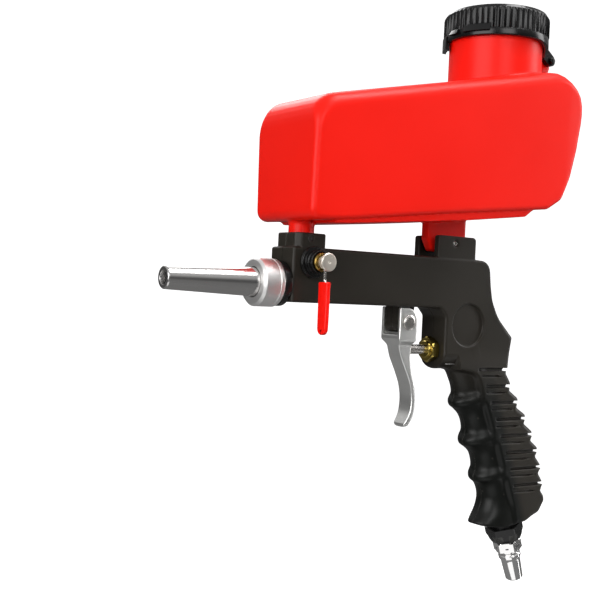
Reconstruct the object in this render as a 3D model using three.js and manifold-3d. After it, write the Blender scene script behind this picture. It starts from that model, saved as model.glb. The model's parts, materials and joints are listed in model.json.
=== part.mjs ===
// Gravity-feed sandblasting gun: red media hopper, two-piece gun body, trigger
// air valve, rotary media valve, mixing chamber, tapered nozzle and quick plug.
// Millimetres. +Z up, the nozzle points to -X, the gun's left side is -Y.
// The pieces are laid out in a working frame whose X runs along the nozzle
// axis (z = 0) with X = 0 on the body's front face; the whole gun is then
// moved so that the origin is at the middle of the hand grip.
import * as THREE from 'three';
import { mergeVertices } from 'three/addons/utils/BufferGeometryUtils.js';
import Module from 'manifold-3d';

const wasm = await Module();
wasm.setup();

// ---- driving dimensions -------------------------------------------------
const GRIP = [172, 0, -95];      // middle of the hand grip, the final origin
const BODY_HALF = 12;            // half width of the gun body
const BODY_TOP = 21.5;
const BODY_BOTTOM = -10.7;
const BODY_FRONT = 0;
const WALL = 2.5;                // shell wall
const SPLIT = 0.15;              // each half stops this far from the middle
const GAP = 0.3;                 // clearance between neighbouring pieces

const GRIP_O = [157, -50];       // grip axis start, X and Z
const GRIP_TILT = 19.6 * Math.PI / 180;
const GRIP_HALF = 14.5;

const NOZZLE_TIP_X = -76.1, NOZZLE_TIP_R = 6.5, NOZZLE_ROOT_R = 8.45;
const NUT_R = 14, NUT_FRONT = -19.4, NUT_BACK = -5.3;
const CHAMBER_R = 9, FLANGE_R = 13.3;

const SPOUT_X = 12.8, SPOUT_R = 7.6;
const ROTOR_X = 13.6, ROTOR_Z = 12.9, ROTOR_R = 4.5;

const CLEVIS_X0 = 110.7, CLEVIS_X1 = 143.1, CLEVIS_TOP = 35.5, TAB_HALF = 3;
const REAR_PIN = [125.4, 30.8];

const TRIGGER_PIVOT = [91, -20.5];
const STEM_Z = -37.6, STEM_R = 3.15;
const BLOCK_X0 = 123.3, BLOCK_X1 = 151;

const HOPPER_WALL = 2.2;
const NECK_X = 163.6, NECK_R = 30.6, NECK_TOP = 174;
const CAP_R = 34.6, CAP_BOTTOM = 165.5, CAP_TOP = 185.4;
const CAP_HINGE = [209.5, 161.5];

const PLUG_TILT = 19.4 * Math.PI / 180;
const PLUG_REF = [192.4, -158];  // on the plug axis, under the butt

// ---- looks --------------------------------------------------------------
const mat = (color, roughness, metalness) => new THREE.MeshStandardMaterial({ color, roughness, metalness });
const BLACK = () => mat(0x1b1b1a, 0.5, 0);
const RED = () => mat(0xd91d1b, 0.35, 0);
const STEEL = () => mat(0xc6c6c4, 0.25, 1);
const CHROME = () => mat(0xe4e4e4, 0.08, 1);
const ALU = () => mat(0xb9bbbd, 0.4, 1);
const BRASS = () => mat(0xc9a63c, 0.3, 1);
const RUBBER = () => mat(0x141414, 0.85, 0);

// ---- geometry helpers ---------------------------------------------------
function solid(geometry) {
  const g = geometry.clone();
  for (const n of Object.keys(g.attributes)) if (n !== 'position') g.deleteAttribute(n);
  const m = mergeVertices(g, 1e-4);
  const p = m.attributes.position.array, idx = m.index.array, t = [];
  let vol = 0;
  for (let i = 0; i < idx.length; i += 3) {
    const [a, b, c] = [idx[i], idx[i + 1], idx[i + 2]];
    if (a === b || b === c || a === c) continue;
    t.push(a, b, c);
    const A = [p[3 * a], p[3 * a + 1], p[3 * a + 2]], B = [p[3 * b], p[3 * b + 1], p[3 * b + 2]], C = [p[3 * c], p[3 * c + 1], p[3 * c + 2]];
    vol += A[0] * (B[1] * C[2] - B[2] * C[1]) - A[1] * (B[0] * C[2] - B[2] * C[0]) + A[2] * (B[0] * C[1] - B[1] * C[0]);
  }
  if (vol < 0) for (let i = 0; i < t.length; i += 3) [t[i + 1], t[i + 2]] = [t[i + 2], t[i + 1]];
  return new wasm.Manifold(new wasm.Mesh({ numProp: 3, vertProperties: new Float32Array(p), triVerts: new Uint32Array(t) }));
}
function geometryOf(manifold) {
  const mesh = manifold.getMesh();
  const g = new THREE.BufferGeometry();
  g.setAttribute('position', new THREE.BufferAttribute(new Float32Array(mesh.vertProperties), 3));
  g.setIndex(new THREE.BufferAttribute(new Uint32Array(mesh.triVerts), 1));
  return g;
}
const basis = (x, y, z) => new THREE.Matrix4().makeBasis(new THREE.Vector3(...x), new THREE.Vector3(...y), new THREE.Vector3(...z));
const shape = (pts) => new THREE.Shape(pts.map((p) => new THREE.Vector2(p[0], p[1])));
function extrude(pts, depth) { return new THREE.ExtrudeGeometry(shape(pts), { depth, bevelEnabled: false, steps: 1 }); }
// outline in X,Z pulled from y0 to y1
const inXZ = (pts, y0, y1) => solid(extrude(pts, y1 - y0).applyMatrix4(basis([1, 0, 0], [0, 0, 1], [0, -1, 0])).translate(0, y1, 0));
// outline in Y,Z pulled from x0 to x1
const inYZ = (pts, x0, x1) => solid(extrude(pts, x1 - x0).applyMatrix4(basis([0, 1, 0], [0, 0, 1], [1, 0, 0])).translate(x0, 0, 0));
// outline in X,Y pulled from z0 to z1
const inXY = (pts, z0, z1) => solid(extrude(pts, z1 - z0).translate(0, 0, z0));
const box = (x0, x1, y0, y1, z0, z1) => solid(new THREE.BoxGeometry(x1 - x0, y1 - y0, z1 - z0).translate((x0 + x1) / 2, (y0 + y1) / 2, (z0 + z1) / 2));
// closed profile of [along, radius] turned about a line parallel to an axis
function turned(profile, axis, at, seg = 16) {
  const pts = profile.map(([h, r]) => new THREE.Vector2(r, h));
  const open = profile[0][1] > 1e-6 || profile[profile.length - 1][1] > 1e-6;
  if (open) pts.push(pts[0].clone());
  const g = new THREE.LatheGeometry(pts, seg);
  if (axis === 'x') g.applyMatrix4(basis([0, 0, 1], [1, 0, 0], [0, 1, 0])).translate(0, at[0], at[1]);
  if (axis === 'y') g.translate(at[0], 0, at[1]);
  if (axis === 'z') g.applyMatrix4(basis([0, 1, 0], [0, 0, 1], [1, 0, 0])).translate(at[0], at[1], 0);
  return solid(g);
}
const rod = (axis, at, a, b, r, seg = 16) => turned([[a, 0], [a, r], [b, r], [b, 0]], axis, at, seg);
const tube = (axis, at, a, b, ro, ri, seg = 16) => turned([[a, ri], [a, ro], [b, ro], [b, ri]], axis, at, seg);
const ngon = (n, r, phase = 0, cx = 0, cy = 0) => Array.from({ length: n }, (_, i) => [cx + r * Math.cos(phase + i * 2 * Math.PI / n), cy + r * Math.sin(phase + i * 2 * Math.PI / n)]);
// closed skin through rings of points, capped at both ends
function loft(rings) {
  const n = rings[0].length, pos = [], tri = [];
  for (const r of rings) for (const p of r) pos.push(...p);
  for (let k = 0; k + 1 < rings.length; k++) for (let i = 0; i < n; i++) {
    const a = k * n + i, b = k * n + (i + 1) % n, c = a + n, d = b + n;
    tri.push(a, b, d, a, d, c);
  }
  const cap = (k, flip) => {
    const c = pos.length / 3, m = [0, 1, 2].map((j) => rings[k].reduce((s, p) => s + p[j], 0) / n);
    pos.push(...m);
    for (let i = 0; i < n; i++) {
      const a = k * n + i, b = k * n + (i + 1) % n;
      if (flip) tri.push(c, b, a); else tri.push(c, a, b);
    }
  };
  cap(0, true); cap(rings.length - 1, false);
  const g = new THREE.BufferGeometry();
  g.setAttribute('position', new THREE.BufferAttribute(new Float32Array(pos), 3));
  g.setIndex(tri);
  return solid(g);
}
function pathTube(points, ro, ri, sides, steps) {
  const curve = new THREE.CatmullRomCurve3(points.map((p) => new THREE.Vector3(...p)), false, 'centripetal');
  const s = shape(ngon(sides, ro));
  if (ri > 0) s.holes.push(new THREE.Path(ngon(sides, ri).map((p) => new THREE.Vector2(p[0], p[1]))));
  return solid(new THREE.ExtrudeGeometry(s, { steps, extrudePath: curve, bevelEnabled: false }));
}
const sum = (...m) => m.reduce((a, b) => a.add(b));

const gun = new THREE.Group();
gun.position.set(-GRIP[0], -GRIP[1], -GRIP[2]);
function add(name, manifold, material, parent = gun) {
  const m = new THREE.Mesh(geometryOf(manifold), material);
  m.name = name;
  parent.add(m);
  return m;
}

// ---- hopper shape, shared by its outer and inner skins -------------------
const lerp = (a, b, t) => a + (b - a) * t;
// half width in plan, from the front to the rear
const hopperHalf = (x) => lerp(31.2, 41, Math.min(1, Math.max(0, (x + 1) / 195)));
const hopperBottom = (x) => (x < 80 ? lerp(31.9, 39.6, (x - 0) / 80) : lerp(39.6, 51.6, (x - 80) / 94));
const hopperTop = (x) => 106.6 + 0.2163 * x;
// side view outline, counter-clockwise from the front bottom; d moves it inwards
function hopperSide(d) {
  return [
    [4 + d, hopperBottom(4) + d], [27.9, hopperBottom(27.9) + d], [83.5, hopperBottom(83.5) + d], [118.3, hopperBottom(118.3) + d], [168 - d * 0.4, hopperBottom(168) + d],
    [178 - d, 55.8 + d * 0.9], [184.5 - d, 66 + d * 0.3], [192.3 - d, 80], [199.2 - d, 97], [203.8 - d, 112], [206.6 - d, 127 - d * 0.2], [206.4 - d * 0.9, 134 - d * 0.6], [202.6 - d * 0.6, 140.8 - d], [196.4 - d * 0.4, 145.6 - d],
    [187, 147.05 - d], [22, 111.4 - d], [12 + d * 0.4, 108.6 - d], [5 + d * 0.7, 104 - d * 0.7], [1 + d, 97 - d * 0.4], [-0.8 + d, 88], [-0.2 + d, 40 + d * 0.3], [0.8 + d * 0.9, 36.6 + d * 0.6],
  ];
}
// plan outline with rounded front corners
function hopperPlan(d) {
  const r = 6 - d * 0.8, h0 = hopperHalf(0) - d, h1 = 41 - d, out = [];
  for (let i = 0; i <= 3; i++) { const a = Math.PI / 2 * i / 3; out.push([-0.9 + d + r - r * Math.cos(a), -(h0 - r + r * Math.sin(a))]); }
  out.push([188, -h1]);
  for (let i = 1; i <= 3; i++) { const a = Math.PI / 2 * i / 3; out.push([188 + (18.7 - d) * Math.sin(a), -(h1 - 11 + 11 * Math.cos(a))]); }
  return out.concat(out.slice().reverse().map(([x, y]) => [x, -y]));
}
// cross outline with rounded top edges, as wide as the widest section
function hopperCross(d) {
  const out = [], w = 41 - d;
  out.push([-w + 3, 20], [-w, 56]);
  return out;
}
function hopperSkin(d) {
  let s = inXZ(hopperSide(d), -60, 60).intersect(inXY(hopperPlan(d), -20, 220));
  // long top edges are taken off in two facets that follow the slope
  for (const side of [-1, 1]) {
    for (const [w, h] of [[3.2, 8.6], [8.6, 3.2]]) {
      const ring = (x) => {
        const y = side * (hopperHalf(x) - d), z = hopperTop(x) + 0.35 - d;
        return [[x, y - side * w, z], [x, y, z - h], [x, y + side * 30, z - h], [x, y + side * 30, z + 30], [x, y - side * w, z + 30]];
      };
      s = s.subtract(loft([ring(-10), ring(215)]));
    }
  }
  return s;
}
const hopperOuter = hopperSkin(0), hopperInner = hopperSkin(HOPPER_WALL);
const neckOuter = turned([[120, 0], [120, NECK_R], [NECK_TOP, NECK_R], [NECK_TOP, 0]], 'z', [NECK_X, 0], 28);
const neckFillet = turned([[128, 0], [128, NECK_R + 5], [146, NECK_R + 1.4], [150, NECK_R], [150, 0]], 'z', [NECK_X, 0], 28);
const neckInner = turned([[110, 0], [110, NECK_R - 2.6], [NECK_TOP + 2, NECK_R - 2.6], [NECK_TOP + 2, 0]], 'z', [NECK_X, 0], 28);
const spoutOuter = turned([[22.6, 0], [22.6, SPOUT_R], [36, SPOUT_R], [36, 0]], 'z', [SPOUT_X, 0], 16);
const spoutInner = turned([[20, 0], [20, 5.2], [34, 5.2], [40, 9], [40, 0]], 'z', [SPOUT_X, 0], 16);
const tabPlate = inXZ([[108.4, 40], [108.4, 33], [113, 25.2], [139, 25.2], [141.6, 29], [141.6, 48], [112, 45]], -TAB_HALF, TAB_HALF);
// hinge arm: a red hook that rises from the hopper behind the neck
const hookArm = inXZ([[188, 138], [203.8, 138], [207, 147], [212.2, 156.5], [213.2, 161.5], [211.8, 165], [208.4, 165.6], [206, 163], [205.4, 158], [200, 150], [188, 146]], -4, 4);
const hookHole = rod('y', CAP_HINGE, -6, 6, 1.75, 16);
let hopper = sum(hopperOuter, neckOuter, neckFillet.intersect(box(120, 210, -41, 41, 120, 152)), spoutOuter, tabPlate, hookArm)
  .subtract(hopperInner).subtract(neckInner).subtract(spoutInner).subtract(hookHole)
  .subtract(rod('y', REAR_PIN, -10, 10, 1.65, 16));
add('hopper', hopper, RED());

// ---- hopper lid ----------------------------------------------------------
const lid = turned([
  [CAP_BOTTOM, NECK_R + 0.6], [CAP_BOTTOM, CAP_R], [CAP_TOP - 4, CAP_R], [CAP_TOP - 1.4, CAP_R - 1.2], [CAP_TOP, CAP_R - 3.6],
  [CAP_TOP, CAP_R - 7], [CAP_TOP - 0.9, CAP_R - 8], [CAP_TOP - 0.9, 1.5], [CAP_TOP - 3.4, 1.5], [CAP_TOP - 3.4, NECK_R + 0.6],
], 'z', [NECK_X, 0], 32);
const lidEar = (y0, y1) => inXZ([[NECK_X + 33.6, CAP_BOTTOM + 0.2], [207.2, 158.6], [210, 157.9], [212.4, 159.2], [213.2, 161.6], [212, 164.2], [206, 168.6], [NECK_X + 33.6, 174]], y0, y1);
const lidThumb = inXZ([[NECK_X - 37.6, CAP_BOTTOM + 1], [NECK_X - 33.8, CAP_BOTTOM + 0.2], [NECK_X - 33.8, CAP_BOTTOM + 8], [NECK_X - 36.6, CAP_BOTTOM + 6]], -7, 7);
add('hopper_lid', sum(lid, lidEar(-8, -4.6), lidEar(4.6, 8), lidThumb).subtract(rod('y', CAP_HINGE, -10, 10, 1.75, 16)), BLACK());
add('lid_gasket', tube('z', [NECK_X, 0], NECK_TOP + GAP, CAP_TOP - 3.4 - GAP, NECK_R + 0.2, NECK_R - 4.4, 24), RUBBER());
add('lid_hinge_pin', turned([[-9.6, 0], [-9.6, 2.4], [-8.3, 2.4], [-8.3, 1.5], [8.6, 1.5], [9.2, 1.0], [9.2, 0]], 'y', CAP_HINGE, 16), BLACK());

const along = (u) => [PLUG_REF[0] + u * Math.sin(PLUG_TILT), 0, PLUG_REF[1] - u * Math.cos(PLUG_TILT)];
const AIR_PATH = [[146, 0, -47.1], [146.05, 0, -50], [147.6, 0, -58], [153, 0, -72], [164, 0, -98], along(-40), along(-26.4)];

// ---- gun body halves ------------------------------------------------------
const gA = [Math.sin(GRIP_TILT), -Math.cos(GRIP_TILT)], gN = [Math.cos(GRIP_TILT), Math.sin(GRIP_TILT)];
const gripXZ = (s, q) => [GRIP_O[0] + s * gA[0] + q * gN[0], GRIP_O[1] + s * gA[1] + q * gN[1]];
// [distance down the grip, front edge, rear edge, half thickness]
const GRIP_STATIONS = [
  [-26, -14, 21, 12.2], [-8, -22.6, 18.6, 12.8], [0, -20.6, 19.2, 13.2], [8, -20.4, 20, 13.6], [13, -23, 20.6, 13.8], [17, -25, 21.4, 13.9], [21, -22, 22.4, 14], [27, -18.6, 23.6, 14.2],
  [34, -17.8, 25.6, 14.4], [40, -20, 27, 14.5], [45, -23, 28.2, 14.5], [50, -18.6, 29.8, 14.5], [57, -15.8, 31, 14.5], [64, -16.2, 32.2, 14.5], [71, -20.4, 33, 14.5], [76, -17.2, 33.2, 14.5],
  [83, -16.4, 33.2, 14.5], [90, -18.4, 32.6, 14.4], [95, -23, 32, 14.3], [99.5, -30, 31.4, 14.1], [104.5, -31, 30.4, 13.8], [110.4, -10, 27, 12.6],
];
function gripRing([s, f, r, h], d = 0, n = 14) {
  const c = (f + r) / 2, a = (r - f) / 2 - d, b = h - d, out = [];
  for (let i = 0; i < n; i++) {
    const t = 2 * Math.PI * i / n, ct = Math.cos(t), st = Math.sin(t), e = 2 / 2.7;
    const q = c + a * Math.sign(ct) * Math.abs(ct) ** e, y = b * Math.sign(st) * Math.abs(st) ** e;
    const [x, z] = gripXZ(s, q);
    out.push([x, y, z]);
  }
  return out;
}
const grip = loft(GRIP_STATIONS.map((s) => gripRing(s)));
const gripCut = inXZ([gripXZ(99.5, -40), gripXZ(107.4, -13), gripXZ(110, 8), gripXZ(109.6, 24), gripXZ(107, 27.5), gripXZ(101.6, 29.5), gripXZ(100, 45), gripXZ(140, 45), gripXZ(140, -40)], -30, 30);
const bar = inXZ([
  [0, -9.5], [1.2, -10.7], [114.6, -10.7], [117.2, -12], [119.2, -15], [119.6, -20], [119.6, -46.8], [121.6, -49.6], [126, -50.4], [134, -50.4],
  [140, -56], [170, -62], [181, -58], [178.6, -49], [181, -38], [182.4, -30.1], [181.4, -27.4], [171, -18.8], [166.2, -13.6], [161.6, -5.2], [159.2, 4.2], [157.2, 15.2], [151.4, 20.6], [143.1, 21.5], [2, 21.5], [0, 19.5],
], -BODY_HALF, BODY_HALF);
const bossSkin = inXZ([[119.6, -20], [119.6, -46.8], [121.6, -49.6], [126, -50.4], [136, -50.4], [160, -50], [168, -24], [150, -12]], -12.8, 12.8);
const socket = inXY([[2.4, -8.5], [5.4, -11.8], [22.6, -11.8], [22.6, 11.8], [5.4, 11.8], [2.4, 8.5]], 20, 29.8);
const ear = (y0, y1) => inXZ([[CLEVIS_X0, 20], [CLEVIS_X0, CLEVIS_TOP - 2], [CLEVIS_X0 + 2, CLEVIS_TOP], [CLEVIS_X1 - 3, CLEVIS_TOP], [CLEVIS_X1, CLEVIS_TOP - 3], [CLEVIS_X1, 20]], y0, y1);
const lugOutline = [[84.8, -9], [84.8, -21], [86.6, -25.2], [91, -27], [95.4, -25.2], [97.2, -21], [97.2, -9]];
const lug = inXZ(lugOutline, -6.8, 6.8);
const SCREWS = [[38, 13.2], [101, 13.2], [150.6, 10], [171.2, -33.4], gripXZ(62, 20), gripXZ(94, 18)];

const bodySolid = sum(bar, bossSkin, grip.subtract(gripCut), socket, ear(3.5, 11.5), ear(-11.5, -3.5), lug);
let cavity = inXZ([[31, -8], [31, 18.6], [142, 18.6], [149, 17.6], [153.4, 12.6], [155, 3], [157.5, -7], [162, -16], [167, -21.4], [177, -29.6], [176.6, -37], [174, -48], [150, -60], [140, -48], [122.4, -47.6], [122.4, -13], [117, -8]], -9.4, 9.4);
const gripInner = loft([[-10, -12, 14, 13], [8, -15, 15, 13.4], [34, -13, 19, 14], [64, -11, 24, 14.2], [90, -12, 26, 14], [103.6, -10, 24, 13.6]].map((s) => gripRing([s[0], s[1] - 1, s[2] + 1, s[3] - 1], 1.6, 8)));
cavity = cavity.add(gripInner).add(pathTube(AIR_PATH, 5.1, 0, 8, 8));
for (const [x, z] of SCREWS) cavity = cavity.subtract(rod('y', [x, z], -20, 20, 3.4, 8));
// pocket for the mixing chamber and its upright media duct
const chamberPocket = sum(rod('x', [0, 0], -1, 32, CHAMBER_R + GAP, 20), box(4.2, 22.8, -8.8, 8.8, 0, 20.9));
const socketBore = rod('z', [SPOUT_X, 0], 19, 31, SPOUT_R + GAP, 16);
let body = bodySolid.subtract(cavity).subtract(chamberPocket).subtract(socketBore)
  .subtract(rod('y', [ROTOR_X, ROTOR_Z], -20, 0, 6.3, 16))                 // gland neck
  .subtract(rod('y', [12.2, 26.6], -14, -5, 1.75, 12))                     // spout grub screw
  .subtract(rod('y', REAR_PIN, -14, 14, 1.65, 12))                         // rear hopper pin
  .subtract(rod('y', TRIGGER_PIVOT, -10, 10, 2.6, 16))                     // trigger pin
  .subtract(rod('x', [0, STEM_Z], 110, 124, 5.7, 16))                      // air valve spigot
  .subtract(solid(new THREE.CylinderGeometry(9.4, 9.4, 30, 16).rotateX(Math.PI / 2).rotateY(-PLUG_TILT).translate(along(-12)[0], 0, along(-12)[2])));   // adaptor socket
const half = (y0, y1) => box(-40, 260, y0, y1, -220, 60);
let left = body.intersect(half(-40, -SPLIT)), right = body.intersect(half(SPLIT, 40));
for (const [x, z] of SCREWS) {
  left = left.subtract(rod('y', [x, z], -8.2, 1, 1.45, 8));
  right = right.subtract(rod('y', [x, z], -1, 20, 1.7, 8)).subtract(rod('y', [x, z], 9, 20, 3.1, 8));
}
add('body_left_shell', left, BLACK());
add('body_right_shell', right, BLACK());
SCREWS.forEach(([x, z], i) => add('body_screw_' + (i + 1), turned([[-7.8, 0], [-7.8, 1.2], [9 + GAP, 1.2], [9 + GAP, 2.7], [11, 2.7], [11, 0]], 'y', [x, z], 8), STEEL()));

// ---- mixing chamber, nozzle and nut ---------------------------------------
const chamber = sum(
  turned([[-13, 0], [-13, 10.2], [-5, 10.2], [-5, FLANGE_R], [-GAP, FLANGE_R], [-GAP, CHAMBER_R], [27, CHAMBER_R], [27, 0]], 'x', [0, 0], 20),
  box(4.5, 22.5, -8.5, 8.5, 0, 20.6),
).subtract(rod('x', [0, 0], -20, 20, 6, 16)).subtract(rod('x', [0, 0], 15, 30, 5, 16))
  .subtract(rod('z', [SPOUT_X, 0], 0, 30, 4.2, 12)).subtract(rod('y', [ROTOR_X, ROTOR_Z], -20, 6.6, ROTOR_R + 0.06, 24));
add('mixing_chamber', chamber, BLACK());
add('nozzle', turned([
  [NOZZLE_TIP_X, 3.9], [NOZZLE_TIP_X, 5.9], [NOZZLE_TIP_X + 0.7, NOZZLE_TIP_R], [-17.4, NOZZLE_ROOT_R], [-17.4, 10], [-14.6, 10], [-14.6, 5.7],
  [4, 5.7], [4, 5.2], [-16, 4.2], [-70, 3.4],
], 'x', [0, 0], 20), STEEL());
add('nozzle_gasket', tube('x', [0, 0], -14.3, -13.3, 10, 6.2, 16), RUBBER());
add('nozzle_nut', turned([
  [NUT_FRONT, NOZZLE_ROOT_R + GAP], [NUT_FRONT, 12.4], [NUT_FRONT + 1.6, NUT_R], [NUT_BACK - 2, NUT_R], [NUT_BACK, 12.8], [NUT_BACK, 10.55], [-17.7, 10.55], [-17.7, NOZZLE_ROOT_R + GAP],
], 'x', [0, 0], 20), ALU());
add('air_jet', turned([[11, 0.9], [11, 2], [19.6, 3], [20.2, 4.8], [28.5, 4.8], [28.5, 7], [31, 7], [31, 3.8], [36, 3.8], [36, 2.1], [24, 2.1], [22, 0.9]], 'x', [0, 0], 16), BRASS());
add('air_pipe', pathTube([[36.3, 0, 0], [60, 0, 0], [90, 0, 0], [118, 0, 0], [126.6, 0, -4.4], [129.6, 0, -14], [129.6, 0, -28.3]], 3, 2, 8, 14), STEEL());
add('jet_seal_ring', tube('x', [0, 0], 27.2, 28.3, 7, 5, 16), RUBBER());

// ---- media valve -----------------------------------------------------------
add('media_valve_gland', sum(
  rod('y', [ROTOR_X, ROTOR_Z], -14.6, -12.3, 9.2, 16), rod('y', [ROTOR_X, ROTOR_Z], -19.6, -14, 6.8, 16), rod('y', [ROTOR_X, ROTOR_Z], -13, -8.9, 5.9, 16),
).subtract(rod('y', [ROTOR_X, ROTOR_Z], -30, 0, ROTOR_R + 0.06, 24)), BLACK());
add('media_packing_nut', tube('y', [ROTOR_X, ROTOR_Z], -22.4, -19.9, 6, 3.66, 24), BRASS());
add('media_spindle', sum(
  turned([[-28.4, 0], [-28.4, 4.4], [-27.8, 5.3], [-24.4, 5.3], [-23.9, 4.6], [-23.9, 3.6], [-19.2, 3.6], [-19.2, ROTOR_R], [6.2, ROTOR_R], [6.2, 0]], 'y', [ROTOR_X, ROTOR_Z], 24),
).subtract(rod('z', [SPOUT_X, 0], 0, 30, 3.4, 12))
  .subtract(box(ROTOR_X - 10, ROTOR_X - 2.6, -27.6, -22.7, ROTOR_Z - 20, ROTOR_Z + 20)), STEEL());
const LEVER_X = 10.75;
add('lever_arm', sum(
  box(LEVER_X - 0.85 - 0.6, LEVER_X + 0.85 - 0.9, -27.4, -23, ROTOR_Z - 20, ROTOR_Z + 3.4),
  box(LEVER_X - 0.85 - 0.6, LEVER_X + 0.85 - 0.9, -27.9, -22.7, -26, ROTOR_Z - 6),
), STEEL());
// the sleeve is a dipped vinyl skin over the lever
const sleeveOutline = [[-30.2, 1.7]];
for (let i = 0; i <= 10; i++) { const a = Math.PI + Math.PI * i / 10; sleeveOutline.push([-25.2 + 5 * Math.cos(a), -23.6 + 5 * Math.sin(a)]); }
sleeveOutline.push([-20.2, 1.7]);
add('lever_sleeve', inYZ(sleeveOutline, LEVER_X - 2.15, LEVER_X + 1.05)
  .subtract(box(LEVER_X - 0.85 - 0.9, LEVER_X + 0.85 - 0.6, -28.2, -22.4, -26.3, 6)), RED());

// ---- hopper fixings ----------------------------------------------------------
add('spout_seal', tube('z', [SPOUT_X, 0], 20.9, 22.3, SPOUT_R, 4.4, 16), RUBBER());
add('spout_grub_screw', rod('y', [12.2, 26.6], -11.2, -8.0, 1.5, 12), STEEL());
add('hopper_rear_pin', tube('y', REAR_PIN, -11.6, 11.6, 1.5, 0.8, 12), STEEL());

// ---- trigger --------------------------------------------------------------
const triggerSide = [[84, -11.2], [84, -31.3], [86.4, -34.5], [88.2, -42], [92.6, -50], [96.2, -58], [98.8, -67.8], [98.2, -77.4], [95.4, -83.2], [94.1, -85.7], [95.4, -87], [97.4, -86.2], [100.4, -81], [102, -74], [102, -67], [100, -57], [97.2, -48], [96.4, -41], [97, -34], [98, -31.3], [98, -17], [95.4, -12.8], [91.5, -11.2]];
const triggerPlan = inYZ([[-9.4, -8], [-9.4, -31.3], [-6.2, -34.6], [-6.2, -80], [-4.6, -84.6], [-2, -88], [2, -88], [4.6, -84.6], [6.2, -80], [6.2, -34.6], [9.4, -31.3], [9.4, -8]], 70, 120);
const trigger = inXZ(triggerSide, -12, 12).intersect(triggerPlan)
  .subtract(box(70, 94.6, -7.15, 7.15, -28.4, 0)).subtract(box(90, 110, -7.15, 7.15, -28.4, 0))
  .subtract(rod('y', TRIGGER_PIVOT, -12, 12, 2.56, 16));
add('trigger', trigger, ALU());
add('trigger_pin', turned([[-10.7, 0], [-10.7, 4.2], [-10.3, 4.9], [-9.7, 4.9], [-9.7, 2.5], [9.7, 2.5], [9.7, 1.8], [10.6, 1.8], [10.6, 2.4], [11.4, 2.2], [11.4, 0]], 'y', TRIGGER_PIVOT, 16), STEEL());
add('trigger_pin_clip', tube('y', TRIGGER_PIVOT, 9.85, 10.5, 3.8, 2.0, 16).subtract(box(TRIGGER_PIVOT[0] - 1.4, TRIGGER_PIVOT[0] + 1.4, 8, 12, -30, TRIGGER_PIVOT[1])), STEEL());

// ---- air valve ---------------------------------------------------------------
const hexNut = inYZ(ngon(6, 8.45, Math.PI / 2, 0, STEM_Z), 113.8, 118.9)
  .intersect(turned([[113.8, 0], [113.8, 7.4], [115, 8.5], [118.9, 8.5], [118.9, 0]], 'x', [0, STEM_Z], 24));
add('valve_gland_nut', sum(hexNut, rod('x', [0, STEM_Z], 118, 126, 5.3, 16), turned([[112.2, 0], [112.2, 5.2], [112.9, 5.8], [114, 5.8], [114, 0]], 'x', [0, STEM_Z], 16)).subtract(rod('x', [0, STEM_Z], 100, 130, STEM_R + 0.06, 16)), BRASS());
add('valve_stem', turned([[97.6, 0], [97.6, 2.3], [98.4, STEM_R], [128.2, STEM_R], [128.2, 1.8], [133, 1.8], [133, 0]], 'x', [0, STEM_Z], 16), STEEL());
add('stem_o_ring', tube('x', [0, STEM_Z], 126.3, 127.7, 5.3, STEM_R + 0.06, 16), RUBBER());
add('valve_seat', tube('x', [0, STEM_Z], 131.4, 132.9, 5.3, 3.9, 16), BRASS());
add('valve_poppet', turned([[133.3, 0], [133.3, 4.7], [135.8, 4.7], [135.8, 2.2], [138.4, 2.2], [138.4, 0]], 'x', [0, STEM_Z], 12), RUBBER());
class Coil extends THREE.Curve {
  getPoint(t, out = new THREE.Vector3()) {
    const a = 2 * Math.PI * 4 * t;
    return out.set(136.7 + 9.2 * t, 3.9 * Math.cos(a), STEM_Z + 3.9 * Math.sin(a));
  }
}
add('valve_spring', solid(new THREE.ExtrudeGeometry(shape(ngon(5, 0.45)), { steps: 36, extrudePath: new Coil(), bevelEnabled: false })), STEEL());
add('valve_block', box(BLOCK_X0, BLOCK_X1, -8.9, 8.9, -46.6, -28.6)
  .subtract(rod('x', [0, STEM_Z], 120, 160, 5.6, 16)).subtract(rod('z', [129.6, 0], STEM_Z, -20, 2, 12)).subtract(rod('z', [143.6, 0], -50, STEM_Z, 2.6, 12)), ALU());
add('valve_end_plug', turned([[146.3, 0], [146.3, 5.3], [BLOCK_X1 + GAP, 5.3], [BLOCK_X1 + GAP, 7], [153.8, 7], [153.8, 0]], 'x', [0, STEM_Z], 16), BRASS());

// ---- grip air tube, inlet adaptor and quick plug --------------------------------
const plugGroup = new THREE.Group();
plugGroup.position.set(PLUG_REF[0], 0, PLUG_REF[1]);
plugGroup.rotation.y = -PLUG_TILT;           // local -Z runs down the plug axis
gun.add(plugGroup);
add('grip_air_tube', pathTube(AIR_PATH, 4.4, 3, 8, 8), RUBBER());
const adaptor = sum(
  turned([[26, 0], [26, 5], [12, 5], [12, 9], [-3, 9], [-3, 0]], 'z', [0, 0], 16),
  inXY(ngon(6, 13, Math.PI / 6), -10, 1.2).intersect(turned([[-12.4, 0], [-12.4, 9.4], [-6.4, 12.9], [2, 12.9], [2, 0]], 'z', [0, 0], 24)),
  turned([[-13.6, 0], [-13.6, 9], [-9.9, 10.8], [-9.9, 0]], 'z', [0, 0], 16),
).subtract(rod('z', [0, 0], -30, -2, 5.3, 16)).subtract(rod('z', [0, 0], -10, 40, 3, 12));
add('inlet_adaptor', adaptor, BLACK(), plugGroup);
add('adaptor_washer', tube('z', [0, 0], -14.7, -13.9, 8.6, 5.4, 16), RUBBER(), plugGroup);
const plugHex = inXY(ngon(6, 9.7, 0), -21.6, -15).intersect(turned([[-21.6, 0], [-21.6, 8.6], [-20.6, 9.7], [-16, 9.7], [-15, 9], [-15, 0]], 'z', [0, 0], 24));
const plugTipU = 39.6;
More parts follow.
